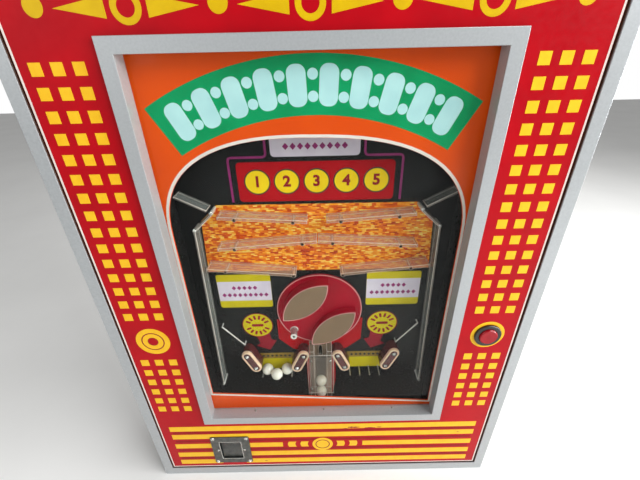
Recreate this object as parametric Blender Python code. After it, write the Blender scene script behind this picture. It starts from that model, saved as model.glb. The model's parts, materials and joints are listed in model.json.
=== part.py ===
"""Upright ball-drop game cabinet: a closed wooden case with a printed front door, a framed window,
and behind it a board with ramps, a turning selector disc, bumpers, ball trays and an exit chute.

Frame: metres, +Z up, the front faces -Y, +X is the player's right. The origin is on the floor under
the middle of the machine. Depths below are laid out from the door's printed face, and the empty
"stand" moves the whole layout so that its middle is over the origin.
"""
import math

import bmesh
import bpy
from mathutils import Vector

for thing in list(bpy.data.objects):
    bpy.data.objects.remove(thing, do_unlink=True)

# ---------------------------------------------------------------- driving dimensions
CABINET_WIDTH = 0.680
CABINET_HEIGHT = 0.990
CABINET_DEPTH = 0.250          # from the printed face to the back
PANEL = 0.015                  # side, top and bottom boards
BACK_BOARD = 0.012
CLEAR = 0.0003                 # between two pieces that touch
TRIM_WALL = 0.002
TRIM_FACE = 0.017              # visible width at the sides and the top
TRIM_FOOT = 0.020              # visible width at the bottom
TRIM_WRAP = 0.020              # how far the trim's outer leg runs back
DOOR_GAP = 0.003
DOOR_BOARD = 0.019

WINDOW_WIDTH = 0.451           # outside of the aluminium frame
WINDOW_LOW = 0.1735
WINDOW_HIGH = 0.814
FRAME_FACE = 0.017
FRAME_PROUD = 0.006            # how far the frame stands in front of the door
FRAME_REACH = 0.021            # front of the frame to the glass
FRAME_REST = 0.002             # how far the leg covers the edge of the glass
FRAME_WALL = 0.0022            # wall round the edge of the glass
FRAME_TAIL = 0.0028            # how far that wall runs past the mask
FRAME_FIT = 0.0005             # round the frame in the door
GLASS = 0.004
MASK = 0.0025
OPENING_HALF = 0.206           # arched opening in the mask
OPENING_SPRING = 0.560         # height at which the arch starts
OPENING_RISE = 0.142
ARCH_POWER = 2.6
OPENING_TILT = 0.02            # the arch drops this much per unit of width, to the right
OPENING_LEFT_FOOT = 0.231      # the lower edge runs down to the right
OPENING_RIGHT_FOOT = 0.199

PLAY_DEPTH = 0.070             # printed face to the playfield
PLAY_BOARD = 0.012
PLAY_LOW = 0.150               # inside of the play box, bottom
PLAY_HIGH = 0.805              # and top
PLAY_FIT = 0.001               # between the frame's wall and the play box
PLAY_WALL = 0.012
PLAY_MARGIN = 0.008            # board beyond the play box
ENTRY_GUIDE = ((0.2065, 0.6157), (0.1625, 0.5927))
SIDE_GUIDE = ((0.1560, 0.5900), (0.1872, 0.5618), (0.1945, 0.2210))
RAMPS = {                      # outer end, inner end, sleeves as a share of the length
    "top": ((0.1475, 0.5862), (0.0143, 0.5768), (0.189, 0.839)),
    "middle": ((0.1553, 0.5326), (0.0012, 0.5432), (0.173, 0.856)),
    "bottom": ((0.1781, 0.4962), (0.0357, 0.4822), (0.209, 0.972)),
}
ISLAND_TALL = 0.026            # the upper island and the bumpers stand this far off the board
LOWER_ISLAND_TALL = 0.018
RAMP_TALL = 0.005
RAMP_DEEP = 0.0265             # ramps stand this far off the board
STRIP = 0.003                  # clear guides
GUIDE_DEEP = 0.0235
SLEEVE_R = 0.0032              # screw sleeves under the ramps
SLEEVE_DROP = 0.0042           # their centres below the ramp's upper face

DISC_R = 0.0764
DISC_HEIGHT = 0.389
DISC_THICK = 0.0035
LEAF_LONG = 0.109
LEAF_WIDE = 0.0495
LEAF_OFFSET = 0.0402           # from the disc's centre, across the leaf
LEAF_SHIFT = 0.0046            # and along it
LEAF_ANGLE = math.radians(43)
POST_R = 0.0062
POST_BORE = 0.0024
POST_ORBIT = 0.0648
POST_TALL = 0.0235             # off the board
SHAFT_R = 0.004
SHAFT_FIT = 0.0004
SHAFT_HEAD_R = 0.0065
SHAFT_HEAD = 0.001
SHAFT_SEAT = 0.0172            # length inside the motor
MOTOR_R = 0.029
MOTOR_GEARS = 0.019
MOTOR_CAN_R = 0.019
MOTOR_CAN = 0.035

BALL_R = 0.011
CHUTE_FIT = 0.001              # beside a ball
CHUTE_WALL = 0.009
CHUTE_LOW = 0.181
CHUTE_HIGH = 0.316
CHUTE_BACK = 0.0019
CHUTE_BACK_HIGH = 0.3105
CHUTE_SLACK = 0.0088           # channel depth beyond a ball, so that balls lie in a zigzag
CHUTE_STEP = 0.0042            # the walls stay this far off the board where the disc turns
CHUTE_FLOOR = 0.003
COVER_HALF = 0.0245
COVER_WALL = 0.0025
COVER_HIGH = 0.309
COVER_LOW = 0.205
SLOT_WIDE = 0.006              # slot for the ball switch lever
SLOT_LOW = 0.274
SLOT_HIGH = 0.300
LEVER_BLADE = 0.003
LEVER_BAR = 0.003
LEVER_REACH = 0.009            # how far the tip stands in front of the playfield
LEVER_TOP = 0.288
LEVER_HEIGHT = 0.260           # height of the lever's axis
LEVER_SET = 0.008              # axis behind the board
LEVER_EYE_R = 0.0032
SWITCH_WIDE = 0.016
SWITCH_DEEP = 0.016
SWITCH_TALL = 0.024

INNER_HEIGHTS = (0.296, 0.266) # upper and lower post of the bumpers beside the chute
INNER_LEAN = 0.0136            # how much further out the lower post stands
OUTER_HEIGHTS = (0.2985, 0.268)
OUTER_LEAN = 0.014             # how much further out the upper post stands
OUTER_SET = 0.0095             # lower post beyond the last pin
BUMPER_FIT = 0.0004            # between the chute and a bumper's foot
BUMPER_FOOT_R = 0.0106
BUMPER_POST_R = 0.0059
RUBBER_R = 0.0102
RUBBER_DEEP = 0.0070
PIN_R = 0.0012
PIN_PITCH = 0.019
PIN_HEIGHT = 0.241
PIN_SET = 0.0114               # first pin beyond the inner bumper's lower post
PINS = 4
PIN_BEYOND = 0.00046           # the pins reach this far past the front ball's middle
PIN_BAR = 0.004
PIN_BAR_TALL = 0.010
WIRE_R = 0.0013
WIRE_OFF = 0.010               # wire centre off the board
WIRE_ENDS = ((0.1783, 0.359), (0.1422, 0.314))

BUTTON_SHIFT = 0.00125         # to the right of the middle of the margin beside the window
BUTTON_HEIGHT = 0.3845
BEZEL_R = 0.0216
BEZEL_PROUD = 0.0038
BARREL_R = 0.0162
BARREL_LONG = 0.038
BARREL_FLOOR = 0.008
STEM_R = 0.006
STEM_END = 0.044
CAP_SKIRT = 0.010
CAP_R = 0.0145
CAP_PROUD = 0.0068
BUTTON_FIT = 0.0005

CUP_X = -0.187
CUP_HEIGHT = 0.082
CUP_WIDE = 0.0775
CUP_TALL = 0.0865
CUP_PLATE = 0.002
FLAP_WIDE = 0.041
FLAP_TALL = 0.052
FLAP_WALL = 0.0015
FLAP_FIT = 0.0008
FLAP_BACK = 0.0006             # front of the flap behind the printed face
FLAP_EYE_R = 0.0016
POCKET_DEEP = 0.058
POCKET_WALL = 0.0015

PIVOT_R = 0.003                # the door turns on two pins just inside its left edge
PIVOT_INSET = 0.0055
PIVOT_LONG = 0.010             # in the cabinet's board
PIVOT_SEAT = 0.012             # in the door
LOCK_R = 0.009
LOCK_DEPTH = 0.052
LOCK_HEIGHT = 0.560
LOCK_BODY = 0.026
LOCK_STEM_R = 0.0035
CAM_WALL = 0.0025
CAM_LONG = 0.030
CAM_HALF = 0.0075
KEEPER_WALL = 0.002
KEEPER_WIDE = 0.013
KEEPER_LOW = 0.018             # above the lock's axis
KEEPER_HIGH = 0.040
KEEPER_FIT = 0.0008            # between the turned cam and the keeper's lip

COIN_X = 0.232
COIN_HEIGHT = 0.905
COIN_WIDE = 0.056
COIN_TALL = 0.086
COIN_PLATE = 0.002
COIN_BODY = (0.040, 0.066, 0.070)
COIN_SLOT = (0.0032, 0.030)
CASH_BOX = (0.150, 0.100, 0.085)
CASH_X = -0.040
CASH_GAP = 0.018               # behind the box
CASH_WALL = 0.0015

# ---------------------------------------------------------------- places that follow from them
half_width = CABINET_WIDTH / 2
skin = TRIM_WALL + CLEAR                            # rebate that the trim's leg lies in
rebate = TRIM_WRAP + CLEAR
inner_half = half_width - skin - PANEL              # between the side panels
floor_top = skin + PANEL
ceiling = CABINET_HEIGHT - skin - PANEL
door_half = half_width - TRIM_FACE - DOOR_GAP
door_low = TRIM_FOOT + DOOR_GAP
door_high = CABINET_HEIGHT - TRIM_FACE - DOOR_GAP
pivot_x = PIVOT_INSET - door_half
pivot_y = PIVOT_INSET
window_half = WINDOW_WIDTH / 2
glass_inset = FRAME_FACE - FRAME_REST               # edge of the glass from the frame's outside
wall_inset = glass_inset - CLEAR - FRAME_WALL
glass_front = FRAME_REACH - FRAME_PROUD
mask_front = glass_front + GLASS + CLEAR
mask_back = mask_front + MASK
frame_back = mask_back + FRAME_TAIL
play_half = window_half - wall_inset + PLAY_FIT     # inside of the play box
board_low = PLAY_LOW - PLAY_WALL - PLAY_MARGIN
board_high = PLAY_HIGH + PLAY_WALL + PLAY_MARGIN
on_board = PLAY_DEPTH - CLEAR                       # back face of what is screwed to the playfield
board_back = PLAY_DEPTH + PLAY_BOARD
behind_board = board_back + CLEAR
disc_front = on_board - DISC_THICK
on_disc = disc_front - CLEAR
channel_back = on_board - CHUTE_BACK
chute_half = BALL_R + CHUTE_FIT                     # half the ball channel
channel_front = channel_back - 2 * BALL_R - CHUTE_SLACK
cover_back = channel_front - CLEAR
foot_front = on_board - ISLAND_TALL + RUBBER_DEEP + 2 * CLEAR
pocket_wide = FLAP_WIDE + 2 * FLAP_FIT
pocket_tall = FLAP_TALL + FLAP_EYE_R + 2 * FLAP_FIT
inner_x = chute_half + CHUTE_WALL + BUMPER_FIT + BUMPER_FOOT_R
pin_first = inner_x + INNER_LEAN + PIN_SET
pin_rows = [pin_first + i * PIN_PITCH for i in range(PINS)]
ball_back = on_board - BALL_R                       # balls on the board; those between them lie in front
ball_front = ball_back - math.sqrt(max(0, (2 * BALL_R + 2 * CLEAR) ** 2 - PIN_PITCH ** 2))
outer_x = pin_rows[-1] + OUTER_SET
bumper_posts = {                                    # upper and lower post centre, right-hand side
    "outer": ((outer_x + OUTER_LEAN, OUTER_HEIGHTS[0]), (outer_x, OUTER_HEIGHTS[1])),
    "inner": ((inner_x, INNER_HEIGHTS[0]), (inner_x + INNER_LEAN, INNER_HEIGHTS[1])),
}
button_x = (window_half + door_half) / 2 + BUTTON_SHIFT
flap_y = FLAP_BACK + FLAP_WALL / 2
flap_z = CUP_HEIGHT + pocket_tall / 2 - FLAP_FIT - FLAP_EYE_R
stand_y = (CABINET_DEPTH - CAP_PROUD) / 2           # the middle of the machine behind the printed face


# ---------------------------------------------------------------- finishes
def finish(name, red, green, blue, roughness, metallic=0.0):
    """A plain Principled material: colour, roughness, metallic value."""
    made = bpy.data.materials.new(name)
    made.use_nodes = True
    shader = made.node_tree.nodes["Principled BSDF"]
    shader.inputs["Base Color"].default_value = (red, green, blue, 1)
    shader.inputs["Roughness"].default_value = roughness
    shader.inputs["Metallic"].default_value = metallic
    made.diffuse_color = (red, green, blue, 1)
    return made


WALNUT = finish("walnut_laminate", 0.10, 0.045, 0.022, 0.45)
CRIMSON = finish("crimson_paint", 0.58, 0.005, 0.025, 0.35)
ALUMINIUM = finish("anodised_aluminium", 0.55, 0.56, 0.57, 0.35, 1.0)
CLEAR_GLASS = finish("window_glass", 0.90, 0.94, 0.92, 0.05)
ORANGE = finish("orange_mask_print", 0.86, 0.11, 0.01, 0.4)
STEEL = finish("dull_steel", 0.22, 0.22, 0.21, 0.4, 1.0)
CHROME = finish("chrome", 0.80, 0.80, 0.80, 0.1, 1.0)
BLACK_PLASTIC = finish("black_plastic", 0.012, 0.012, 0.013, 0.35)
RED_PLASTIC = finish("red_plastic", 0.55, 0.01, 0.02, 0.25)
BLACK_BOARD = finish("black_board", 0.008, 0.009, 0.010, 0.5)
ACRYLIC = finish("clear_acrylic", 0.75, 0.62, 0.50, 0.1)
DISC_RED = finish("disc_red", 0.42, 0.004, 0.02, 0.35)
BEIGE = finish("beige_print", 0.21, 0.15, 0.09, 0.5)
PLUM = finish("plum_plastic", 0.10, 0.025, 0.035, 0.3)
CREAM_RUBBER = finish("cream_rubber", 0.80, 0.58, 0.42, 0.6)
IVORY = finish("white_ball_plastic", 0.80, 0.78, 0.72, 0.25)
GREY_SHEET = finish("zinc_sheet", 0.45, 0.46, 0.47, 0.4, 1.0)


# ---------------------------------------------------------------- outlines, as lists of 2-D points
def oblong(wide, tall, centre=(0, 0)):
    """A rectangle about its centre."""
    x, z = centre
    return [(x - wide / 2, z - tall / 2), (x + wide / 2, z - tall / 2),
            (x + wide / 2, z + tall / 2), (x - wide / 2, z + tall / 2)]


def arc(centre, radius, start, stop, steps):
    """Points on an arc, both ends included, angles in degrees."""
    angles = [math.radians(start + (stop - start) * i / steps) for i in range(steps + 1)]
    return [(centre[0] + radius * math.cos(a), centre[1] + radius * math.sin(a)) for a in angles]


def circle(radius, steps=24, centre=(0, 0)):
    """A closed circle."""
    return arc(centre, radius, 0, 360, steps)[:-1]


def rounded(wide, tall, radius, steps=4, centre=(0, 0)):
    """A rectangle with round corners."""
    x, z = wide / 2 - radius, tall / 2 - radius
    corners = ((x, -z, -90), (x, z, 0), (-x, z, 90), (-x, -z, 180))
    points = []
    for corner_x, corner_z, start in corners:
        middle = (centre[0] + corner_x, centre[1] + corner_z)
        points += arc(middle, radius, start, start + 90, steps)
    return points


def slot(first, last, radius, steps=8):
    """The outline of a round bar from one centre to another: two half circles and their tangents."""
    lean = math.degrees(math.atan2(last[1] - first[1], last[0] - first[0]))
    return arc(last, radius, lean - 90, lean + 90, steps) + arc(first, radius, lean + 90, lean + 270, steps)


def leaf(long, wide, steps=10):
    """Two equal arcs that meet in a point at both ends of the X axis."""
    sag = wide / 2
    radius = ((long / 2) ** 2 + sag ** 2) / (2 * sag)
    swing = math.degrees(math.asin(long / 2 / radius))
    upper = arc((0, sag - radius), radius, 90 - swing, 90 + swing, steps)
    lower = arc((0, radius - sag), radius, 270 - swing, 270 + swing, steps)
    return upper + lower[1:-1]


def arched_opening():
    """The mask's opening: straight sides, a flattened arch above, and a foot that is out of level."""
    points = [(-OPENING_HALF, OPENING_LEFT_FOOT), (OPENING_HALF, OPENING_RIGHT_FOOT)]
    steps = 36
    for i in range(steps + 1):
        turn = math.pi * i / steps
        x = math.copysign(abs(math.cos(turn)) ** (2 / ARCH_POWER), math.cos(turn)) * OPENING_HALF
        rise = math.sin(turn) ** (2 / ARCH_POWER) * OPENING_RISE
        points.append((x, OPENING_SPRING + rise - OPENING_TILT * x))
    return points


def band(path, thick):
    """A strip of even thickness that follows a bent line: the line is its upper or outer edge."""
    ends = [Vector(p) for p in path]
    offset = []
    for i, point in enumerate(ends):
        before = (point - ends[i - 1]).normalized() if i else None
        after = (ends[i + 1] - point).normalized() if i + 1 < len(ends) else None
        ways = [way for way in (before, after) if way]
        mean = sum(ways, Vector((0, 0))).normalized()
        across = Vector((mean.y, -mean.x))
        lean = across.dot(Vector((ways[0].y, -ways[0].x)))
        offset.append(point + across * (thick / lean))
    return [tuple(p) for p in ends] + [tuple(p) for p in reversed(offset)]


def mirrored(points):
    """The same outline on the other side of the middle plane."""
    return [(-x, z) for x, z in reversed(points)]


# ---------------------------------------------------------------- solids
AXES = {"X": lambda a, b, along: (along, a, b),
        "Y": lambda a, b, along: (a, along, b),
        "Z": lambda a, b, along: (a, b, along)}


def settle(name, shape, material, at=(0, 0, 0), parent=None):
    """Put a finished bmesh into the scene as one named object, placed at its own reference point."""
    bmesh.ops.recalc_face_normals(shape, faces=shape.faces[:])
    mesh = bpy.data.meshes.new(name)
    shape.to_mesh(mesh)
    shape.free()
    mesh.materials.append(material)
    made = bpy.data.objects.new(name, mesh)
    bpy.context.scene.collection.objects.link(made)
    made.parent = parent or STAND
    made.location = Vector(at) - (parent.location if parent else Vector())
    return made


def prism_shape(loops, low, high, axis="Y"):
    """Fill an outline, with its holes, and draw it out along an axis."""
    shape = bmesh.new()
    edges = []
    for loop in loops:
        ring = [shape.verts.new(AXES[axis](a, b, low)) for a, b in loop]
        edges += [shape.edges.new((ring[i - 1], ring[i])) for i in range(len(ring))]
    bmesh.ops.triangle_fill(shape, use_beauty=True, use_dissolve=False, edges=edges)
    drawn = bmesh.ops.extrude_face_region(shape, geom=shape.faces[:])
    moved = [item for item in drawn["geom"] if isinstance(item, bmesh.types.BMVert)]
    bmesh.ops.translate(shape, verts=moved, vec=AXES[axis](0, 0, high - low))
    return shape


def prism(name, loops, span, material, axis="Y", at=(0, 0, 0), parent=None):
    """One drawn-out outline as an object."""
    return settle(name, prism_shape(loops, span[0], span[1], axis), material, at, parent)


def turned_shape(profile, steps=24, axis="Y"):
    """Spin a profile of (radius, place along the axis) round the axis."""
    shape = bmesh.new()
    line = [shape.verts.new(AXES[axis](radius, 0, along)) for radius, along in profile]
    edges = [shape.edges.new(pair) for pair in zip(line, line[1:])]
    way = AXES[axis](0, 0, 1)
    bmesh.ops.spin(shape, geom=line + edges, cent=(0, 0, 0), axis=way, steps=steps, angle=math.tau)
    bmesh.ops.remove_doubles(shape, verts=shape.verts[:], dist=0.000001)
    return shape


def turned(name, profile, material, steps=24, axis="Y", at=(0, 0, 0), parent=None):
    """One turned piece as an object with round faces shaded smooth."""
    made = settle(name, turned_shape(profile, steps, axis), material, at, parent)
    made.data.shade_smooth()
    made.data.set_sharp_from_angle(angle=math.radians(40))
    return made


def combine(target, shape, operation="DIFFERENCE", at=(0, 0, 0)):
    """Cut a helper solid out of a piece, or make one body of the two."""
    helper = settle(target.name + "_tool", shape, STEEL, at)
    helper.hide_render = True
    helper.display_type = "WIRE"
    step = target.modifiers.new(operation.lower(), "BOOLEAN")
    step.operation = operation
    step.object = helper


def pivot(name, at, parent=None):
    """An empty on a joint's axis, which the moving pieces hang from."""
    made = bpy.data.objects.new(name, None)
    bpy.context.scene.collection.objects.link(made)
    made.parent = parent
    made.location = at
    return made


def ring(name, low, high, half, profile, material, parent=None):
    """A rectangular frame: a closed profile of (inset, extra inset at the foot, depth) led round it."""
    shape = bmesh.new()
    rows = []
    for inset, foot, depth in profile:
        x, bottom, top = half - inset, low + inset + foot, high - inset
        corners = ((-x, bottom), (x, bottom), (x, top), (-x, top))
        rows.append([shape.verts.new((cx, depth, cz)) for cx, cz in corners])
    for i, row in enumerate(rows):
        for j in range(4):
            shape.faces.new((rows[i - 1][j - 1], rows[i - 1][j], row[j], row[j - 1]))
    return settle(name, shape, material, (0, 0, 0), parent)


# ---------------------------------------------------------------- cabinet
STAND = pivot("stand", (0, -stand_y, 0))
DOOR = pivot("door_axis", (pivot_x, pivot_y, 0), STAND)


def side_panels():
    """Two boards with a rebate round their front edge, in which the aluminium angle lies."""
    for name, sign in (("side_panel_left", -1), ("side_panel_right", 1)):
        inner, outer, stepped = (sign * v for v in (inner_half, half_width, half_width - skin))
        section = [(inner, CLEAR), (stepped, CLEAR), (stepped, rebate), (outer, rebate),
                   (outer, CABINET_DEPTH), (inner, CABINET_DEPTH)]
        panel = prism(name, [section], (0, CABINET_HEIGHT), WALNUT, axis="Z")
        for middle in (0, CABINET_HEIGHT):
            groove = oblong(2 * rebate, 2 * skin, (0, middle))
            combine(panel, prism_shape([groove], -CABINET_WIDTH, CABINET_WIDTH, "X"))
        if sign > 0:
            hole = circle(LOCK_R + CLEAR, 20, (LOCK_DEPTH, LOCK_HEIGHT))
            combine(panel, prism_shape([hole], inner_half - PANEL, half_width + PANEL, "X"))


def floor_and_top():
    """The boards between the sides, each with a socket for the door's pivot pin."""
    span = (CLEAR - inner_half, inner_half - CLEAR)
    section = [(CLEAR, skin), (rebate, skin), (rebate, 0), (CABINET_DEPTH, 0), (CABINET_DEPTH, floor_top),
               (CLEAR, floor_top)]
    upside_down = [(y, CABINET_HEIGHT - z) for y, z in section]
    boards = (("bottom_panel", section, floor_top, 1), ("top_panel", upside_down, ceiling, -1))
    for name, outline, face, way in boards:
        board = prism(name, [outline], span, WALNUT, axis="X")
        socket = circle(PIVOT_R + CLEAR, 16, (pivot_x, pivot_y))
        ends = sorted((face - way * (PIVOT_LONG + CLEAR), face + way * PANEL))
        combine(board, prism_shape([socket], *ends, "Z"))


def pivot_pins():
    """Steel pins from the floor and the top into the door."""
    for name, face, edge, way in (("door_pivot_lower", floor_top, door_low, 1),
                                  ("door_pivot_upper", ceiling, door_high, -1)):
        low, high = sorted((face - way * PIVOT_LONG, edge + way * PIVOT_SEAT))
        profile = [(0, low), (PIVOT_R, low), (PIVOT_R, high), (0, high)]
        turned(name, profile, STEEL, 16, "Z", (pivot_x, pivot_y, 0))


def back_panel():
    """The closed back, let in between the other boards."""
    board = oblong(2 * (inner_half - CLEAR), ceiling - floor_top - 2 * CLEAR, (0, (ceiling + floor_top) / 2))
    prism("back_panel", [board], (CABINET_DEPTH - BACK_BOARD, CABINET_DEPTH), WALNUT)


def edge_trim():
    """An aluminium angle all round the front edge."""
    foot = TRIM_FOOT - TRIM_FACE
    profile = [(0, 0, -TRIM_WALL), (TRIM_FACE, foot, -TRIM_WALL), (TRIM_FACE, foot, 0), (TRIM_WALL, 0, 0),
               (TRIM_WALL, 0, TRIM_WRAP), (0, 0, TRIM_WRAP)]
    ring("edge_trim", 0, CABINET_HEIGHT, half_width, profile, ALUMINIUM)


def side_lock():
    """A cam lock in the right-hand side. The cam turns up behind the lip of a keeper on the door."""
    barrel = [(LOCK_STEM_R + CLEAR, -LOCK_BODY), (LOCK_R, -LOCK_BODY), (LOCK_R, 0), (LOCK_STEM_R + CLEAR, 0)]
    place = (half_width, LOCK_DEPTH, LOCK_HEIGHT)
    turned("door_lock", barrel + barrel[:1], CHROME, 20, "X", place)
    arm = slot((0, 0), (CAM_HALF - CAM_LONG, 0), CAM_HALF)
    back = -LOCK_BODY - CLEAR
    cam = prism("lock_cam", [arm], (back - CAM_WALL, back), STEEL, "X", place)
    stem = [(0, back - CAM_WALL / 2), (LOCK_STEM_R, back - CAM_WALL / 2), (LOCK_STEM_R, -0.001), (0, -0.001)]
    combine(cam, turned_shape(stem, 16, "X"), "UNION", place)
    foot, lip = DOOR_BOARD + CLEAR, LOCK_DEPTH + CAM_HALF + KEEPER_FIT
    low, high = LOCK_HEIGHT + KEEPER_LOW, LOCK_HEIGHT + KEEPER_HIGH
    section = [(foot, low), (foot + KEEPER_WALL, low), (foot + KEEPER_WALL, high - KEEPER_WALL),
               (lip, high - KEEPER_WALL), (lip, low), (lip + KEEPER_WALL, low), (lip + KEEPER_WALL, high),
               (foot, high)]
    middle = half_width + back - CAM_WALL / 2
    span = (middle - KEEPER_WIDE / 2, middle + KEEPER_WIDE / 2)
    prism("lock_keeper", [section], span, STEEL, "X", parent=DOOR)


# ---------------------------------------------------------------- front door
def front_panel():
    """The printed board with its window and the holes for what is fitted in it."""
    outline = oblong(2 * door_half, door_high - door_low, (0, (door_high + door_low) / 2))
    inset = wall_inset - FRAME_FIT
    low, high = WINDOW_LOW + inset, WINDOW_HIGH - inset
    window = oblong(2 * (window_half - inset), high - low, (0, (high + low) / 2))
    button = circle(BARREL_R + CLEAR, 32, (button_x, BUTTON_HEIGHT))
    wall = 2 * (POCKET_WALL + CLEAR)
    pocket = oblong(pocket_wide + wall, pocket_tall + wall, (CUP_X, CUP_HEIGHT))
    coins = oblong(COIN_BODY[0] + 2 * CLEAR, COIN_BODY[1] + 2 * CLEAR, (COIN_X, COIN_HEIGHT))
    loops = [outline, window, button, pocket, coins]
    door = prism("front_panel", loops, (0, DOOR_BOARD), CRIMSON, parent=DOOR)
    for edge, way in ((door_low, 1), (door_high, -1)):
        bore = circle(PIVOT_R + CLEAR, 16, (pivot_x, pivot_y))
        ends = sorted((edge - way * PIVOT_SEAT, edge + way * (PIVOT_SEAT + CLEAR)))
        combine(door, prism_shape([bore], *ends, "Z"))


def window():
    """The aluminium frame, the glass that lies behind its leg, and the mask behind the glass."""
    seat = glass_front - CLEAR
    profile = [(0, -CLEAR), (0, -FRAME_PROUD), (FRAME_FACE, -FRAME_PROUD), (FRAME_FACE, seat),
               (glass_inset - CLEAR, seat), (glass_inset - CLEAR, frame_back), (wall_inset, frame_back),
               (wall_inset, -CLEAR)]
    level = [(inset, 0, depth) for inset, depth in profile]
    ring("window_frame", WINDOW_LOW, WINDOW_HIGH, window_half, level, ALUMINIUM, DOOR)
    wide = 2 * (window_half - glass_inset)
    tall = WINDOW_HIGH - WINDOW_LOW - 2 * glass_inset
    sheet = oblong(wide, tall, (0, (WINDOW_LOW + WINDOW_HIGH) / 2))
    prism("window_glass", [sheet], (glass_front, glass_front + GLASS), CLEAR_GLASS, parent=DOOR)
    prism("window_mask", [sheet, arched_opening()], (mask_front, mask_back), ORANGE, parent=DOOR)


def push_button():
    """The bezel with its barrel through the door, and the cap that slides in it."""
    place = (button_x, 0, BUTTON_HEIGHT)
    bore = CAP_R + BUTTON_FIT
    rim = [(bore, -BEZEL_PROUD), (BEZEL_R - 0.001, -BEZEL_PROUD), (BEZEL_R, 0.001 - BEZEL_PROUD),
           (BEZEL_R, -CLEAR), (BARREL_R, -CLEAR), (BARREL_R, BARREL_LONG), (STEM_R + BUTTON_FIT, BARREL_LONG),
           (STEM_R + BUTTON_FIT, BARREL_LONG - BARREL_FLOOR), (bore, BARREL_LONG - BARREL_FLOOR)]
    turned("button_bezel", rim + rim[:1], BLACK_PLASTIC, 32, "Y", place, DOOR)
    axis = pivot("button_axis", Vector(place) - DOOR.location, DOOR)
    cap = [(0, -CAP_PROUD), (CAP_R - 0.0015, -CAP_PROUD), (CAP_R, 0.0015 - CAP_PROUD), (CAP_R, CAP_SKIRT),
           (STEM_R, CAP_SKIRT), (STEM_R, STEM_END), (0, STEM_END)]
    turned("push_button", cap, RED_PLASTIC, 32, "Y", axis.location, axis)


def coin_cup():
    """A steel plate with a pocket behind it, and a flap that swings in from its top edge."""
    centre = (CUP_X, CUP_HEIGHT)
    plate = rounded(CUP_WIDE, CUP_TALL, 0.003, 3, centre)
    cup = prism("coin_cup", [plate], (-CUP_PLATE - CLEAR, -CLEAR), STEEL, parent=DOOR)
    outside = oblong(pocket_wide + 2 * POCKET_WALL, pocket_tall + 2 * POCKET_WALL, centre)
    combine(cup, prism_shape([outside], -CUP_PLATE / 2, POCKET_DEEP), "UNION")
    inside = oblong(pocket_wide, pocket_tall, centre)
    combine(cup, prism_shape([inside], -CUP_WIDE, POCKET_DEEP - POCKET_WALL))
    half = FLAP_WALL / 2
    lean = math.degrees(math.asin(half / FLAP_EYE_R))
    section = arc((0, 0), FLAP_EYE_R, lean - 90, 270 - lean, 10) + [(-half, -FLAP_TALL), (half, -FLAP_TALL)]
    place = (CUP_X, flap_y, flap_z)
    axis = pivot("flap_axis", Vector(place) - DOOR.location, DOOR)
    prism("coin_flap", [section], (-FLAP_WIDE / 2, FLAP_WIDE / 2), STEEL, "X", axis.location, axis)


def coin_acceptor():
    """The entry plate in the header with the acceptor's body behind it."""
    centre = (COIN_X, COIN_HEIGHT)
    wide, tall, deep = COIN_BODY
    outline = rounded(COIN_WIDE, COIN_TALL, 0.004, 3, centre)
    plate = prism("coin_acceptor", [outline], (-COIN_PLATE - CLEAR, -CLEAR), STEEL, parent=DOOR)
    combine(plate, prism_shape([oblong(wide, tall, centre)], -COIN_PLATE / 2, deep), "UNION")
    combine(plate, prism_shape([oblong(*COIN_SLOT, centre)], -COIN_WIDE, deep / 2))


# ---------------------------------------------------------------- playfield
def playfield():
    """The board across the cabinet, with its holes, and the four walls of the play box on it."""
    outline = oblong(2 * (inner_half - CLEAR), board_high - board_low, (0, (board_high + board_low) / 2))
    holes = [circle(SHAFT_R + SHAFT_FIT, 16, (0, DISC_HEIGHT))]
    holes.append(oblong(SLOT_WIDE, SLOT_HIGH - SLOT_LOW, (0, (SLOT_HIGH + SLOT_LOW) / 2)))
    holes += [circle(PIN_R + CLEAR, 8, (side * x, PIN_HEIGHT)) for side in (-1, 1) for x in pin_rows]
    prism("playfield_board", [outline] + holes, (PLAY_DEPTH, board_back), BLACK_BOARD)
    front = DOOR_BOARD + CLEAR
    section = [(0, 0, front), (PLAY_WALL, 0, front), (PLAY_WALL, 0, on_board), (0, 0, on_board)]
    ring("play_box", PLAY_LOW - PLAY_WALL, PLAY_HIGH + PLAY_WALL, play_half + PLAY_WALL, section, BLACK_BOARD)


def ramps():
    """Clear strips on two screw sleeves each, left and right alike."""
    for row, (outer, inner, shares) in RAMPS.items():
        for side, sign in (("left", -1), ("right", 1)):
            ends = [(sign * outer[0], outer[1]), (sign * inner[0], inner[1])]
            places = shares
            if sign > 0:
                ends.reverse()
                places = [1 - share for share in reversed(shares)]
            start, end = (Vector(p) for p in ends)
            run = end - start
            outline = [(0, -RAMP_TALL)]
            swell = math.degrees(math.asin((SLEEVE_DROP - RAMP_TALL) / SLEEVE_R))
            for share in places:
                outline += arc((share * run.length, -SLEEVE_DROP), SLEEVE_R, -180 - swell, swell, 8)
            outline += [(run.length, -RAMP_TALL), (run.length, 0), (0, 0)]
            at = (start.x, on_board, start.y)
            strip = prism(f"ramp_{row}_{side}", [outline], (-RAMP_DEEP, 0), ACRYLIC, at=at)
            strip.rotation_euler.y = -math.atan2(run.y, run.x)


def guides():
    """The bent side guides and the short guides that let the balls in."""
    for name, path in (("side_guide", SIDE_GUIDE), ("entry_guide", ENTRY_GUIDE)):
        outline = band(path, STRIP)
        span = (on_board - GUIDE_DEEP, on_board)
        prism(name + "_right", [outline], span, ACRYLIC)
        prism(name + "_left", [mirrored(outline)], span, ACRYLIC)


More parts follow.
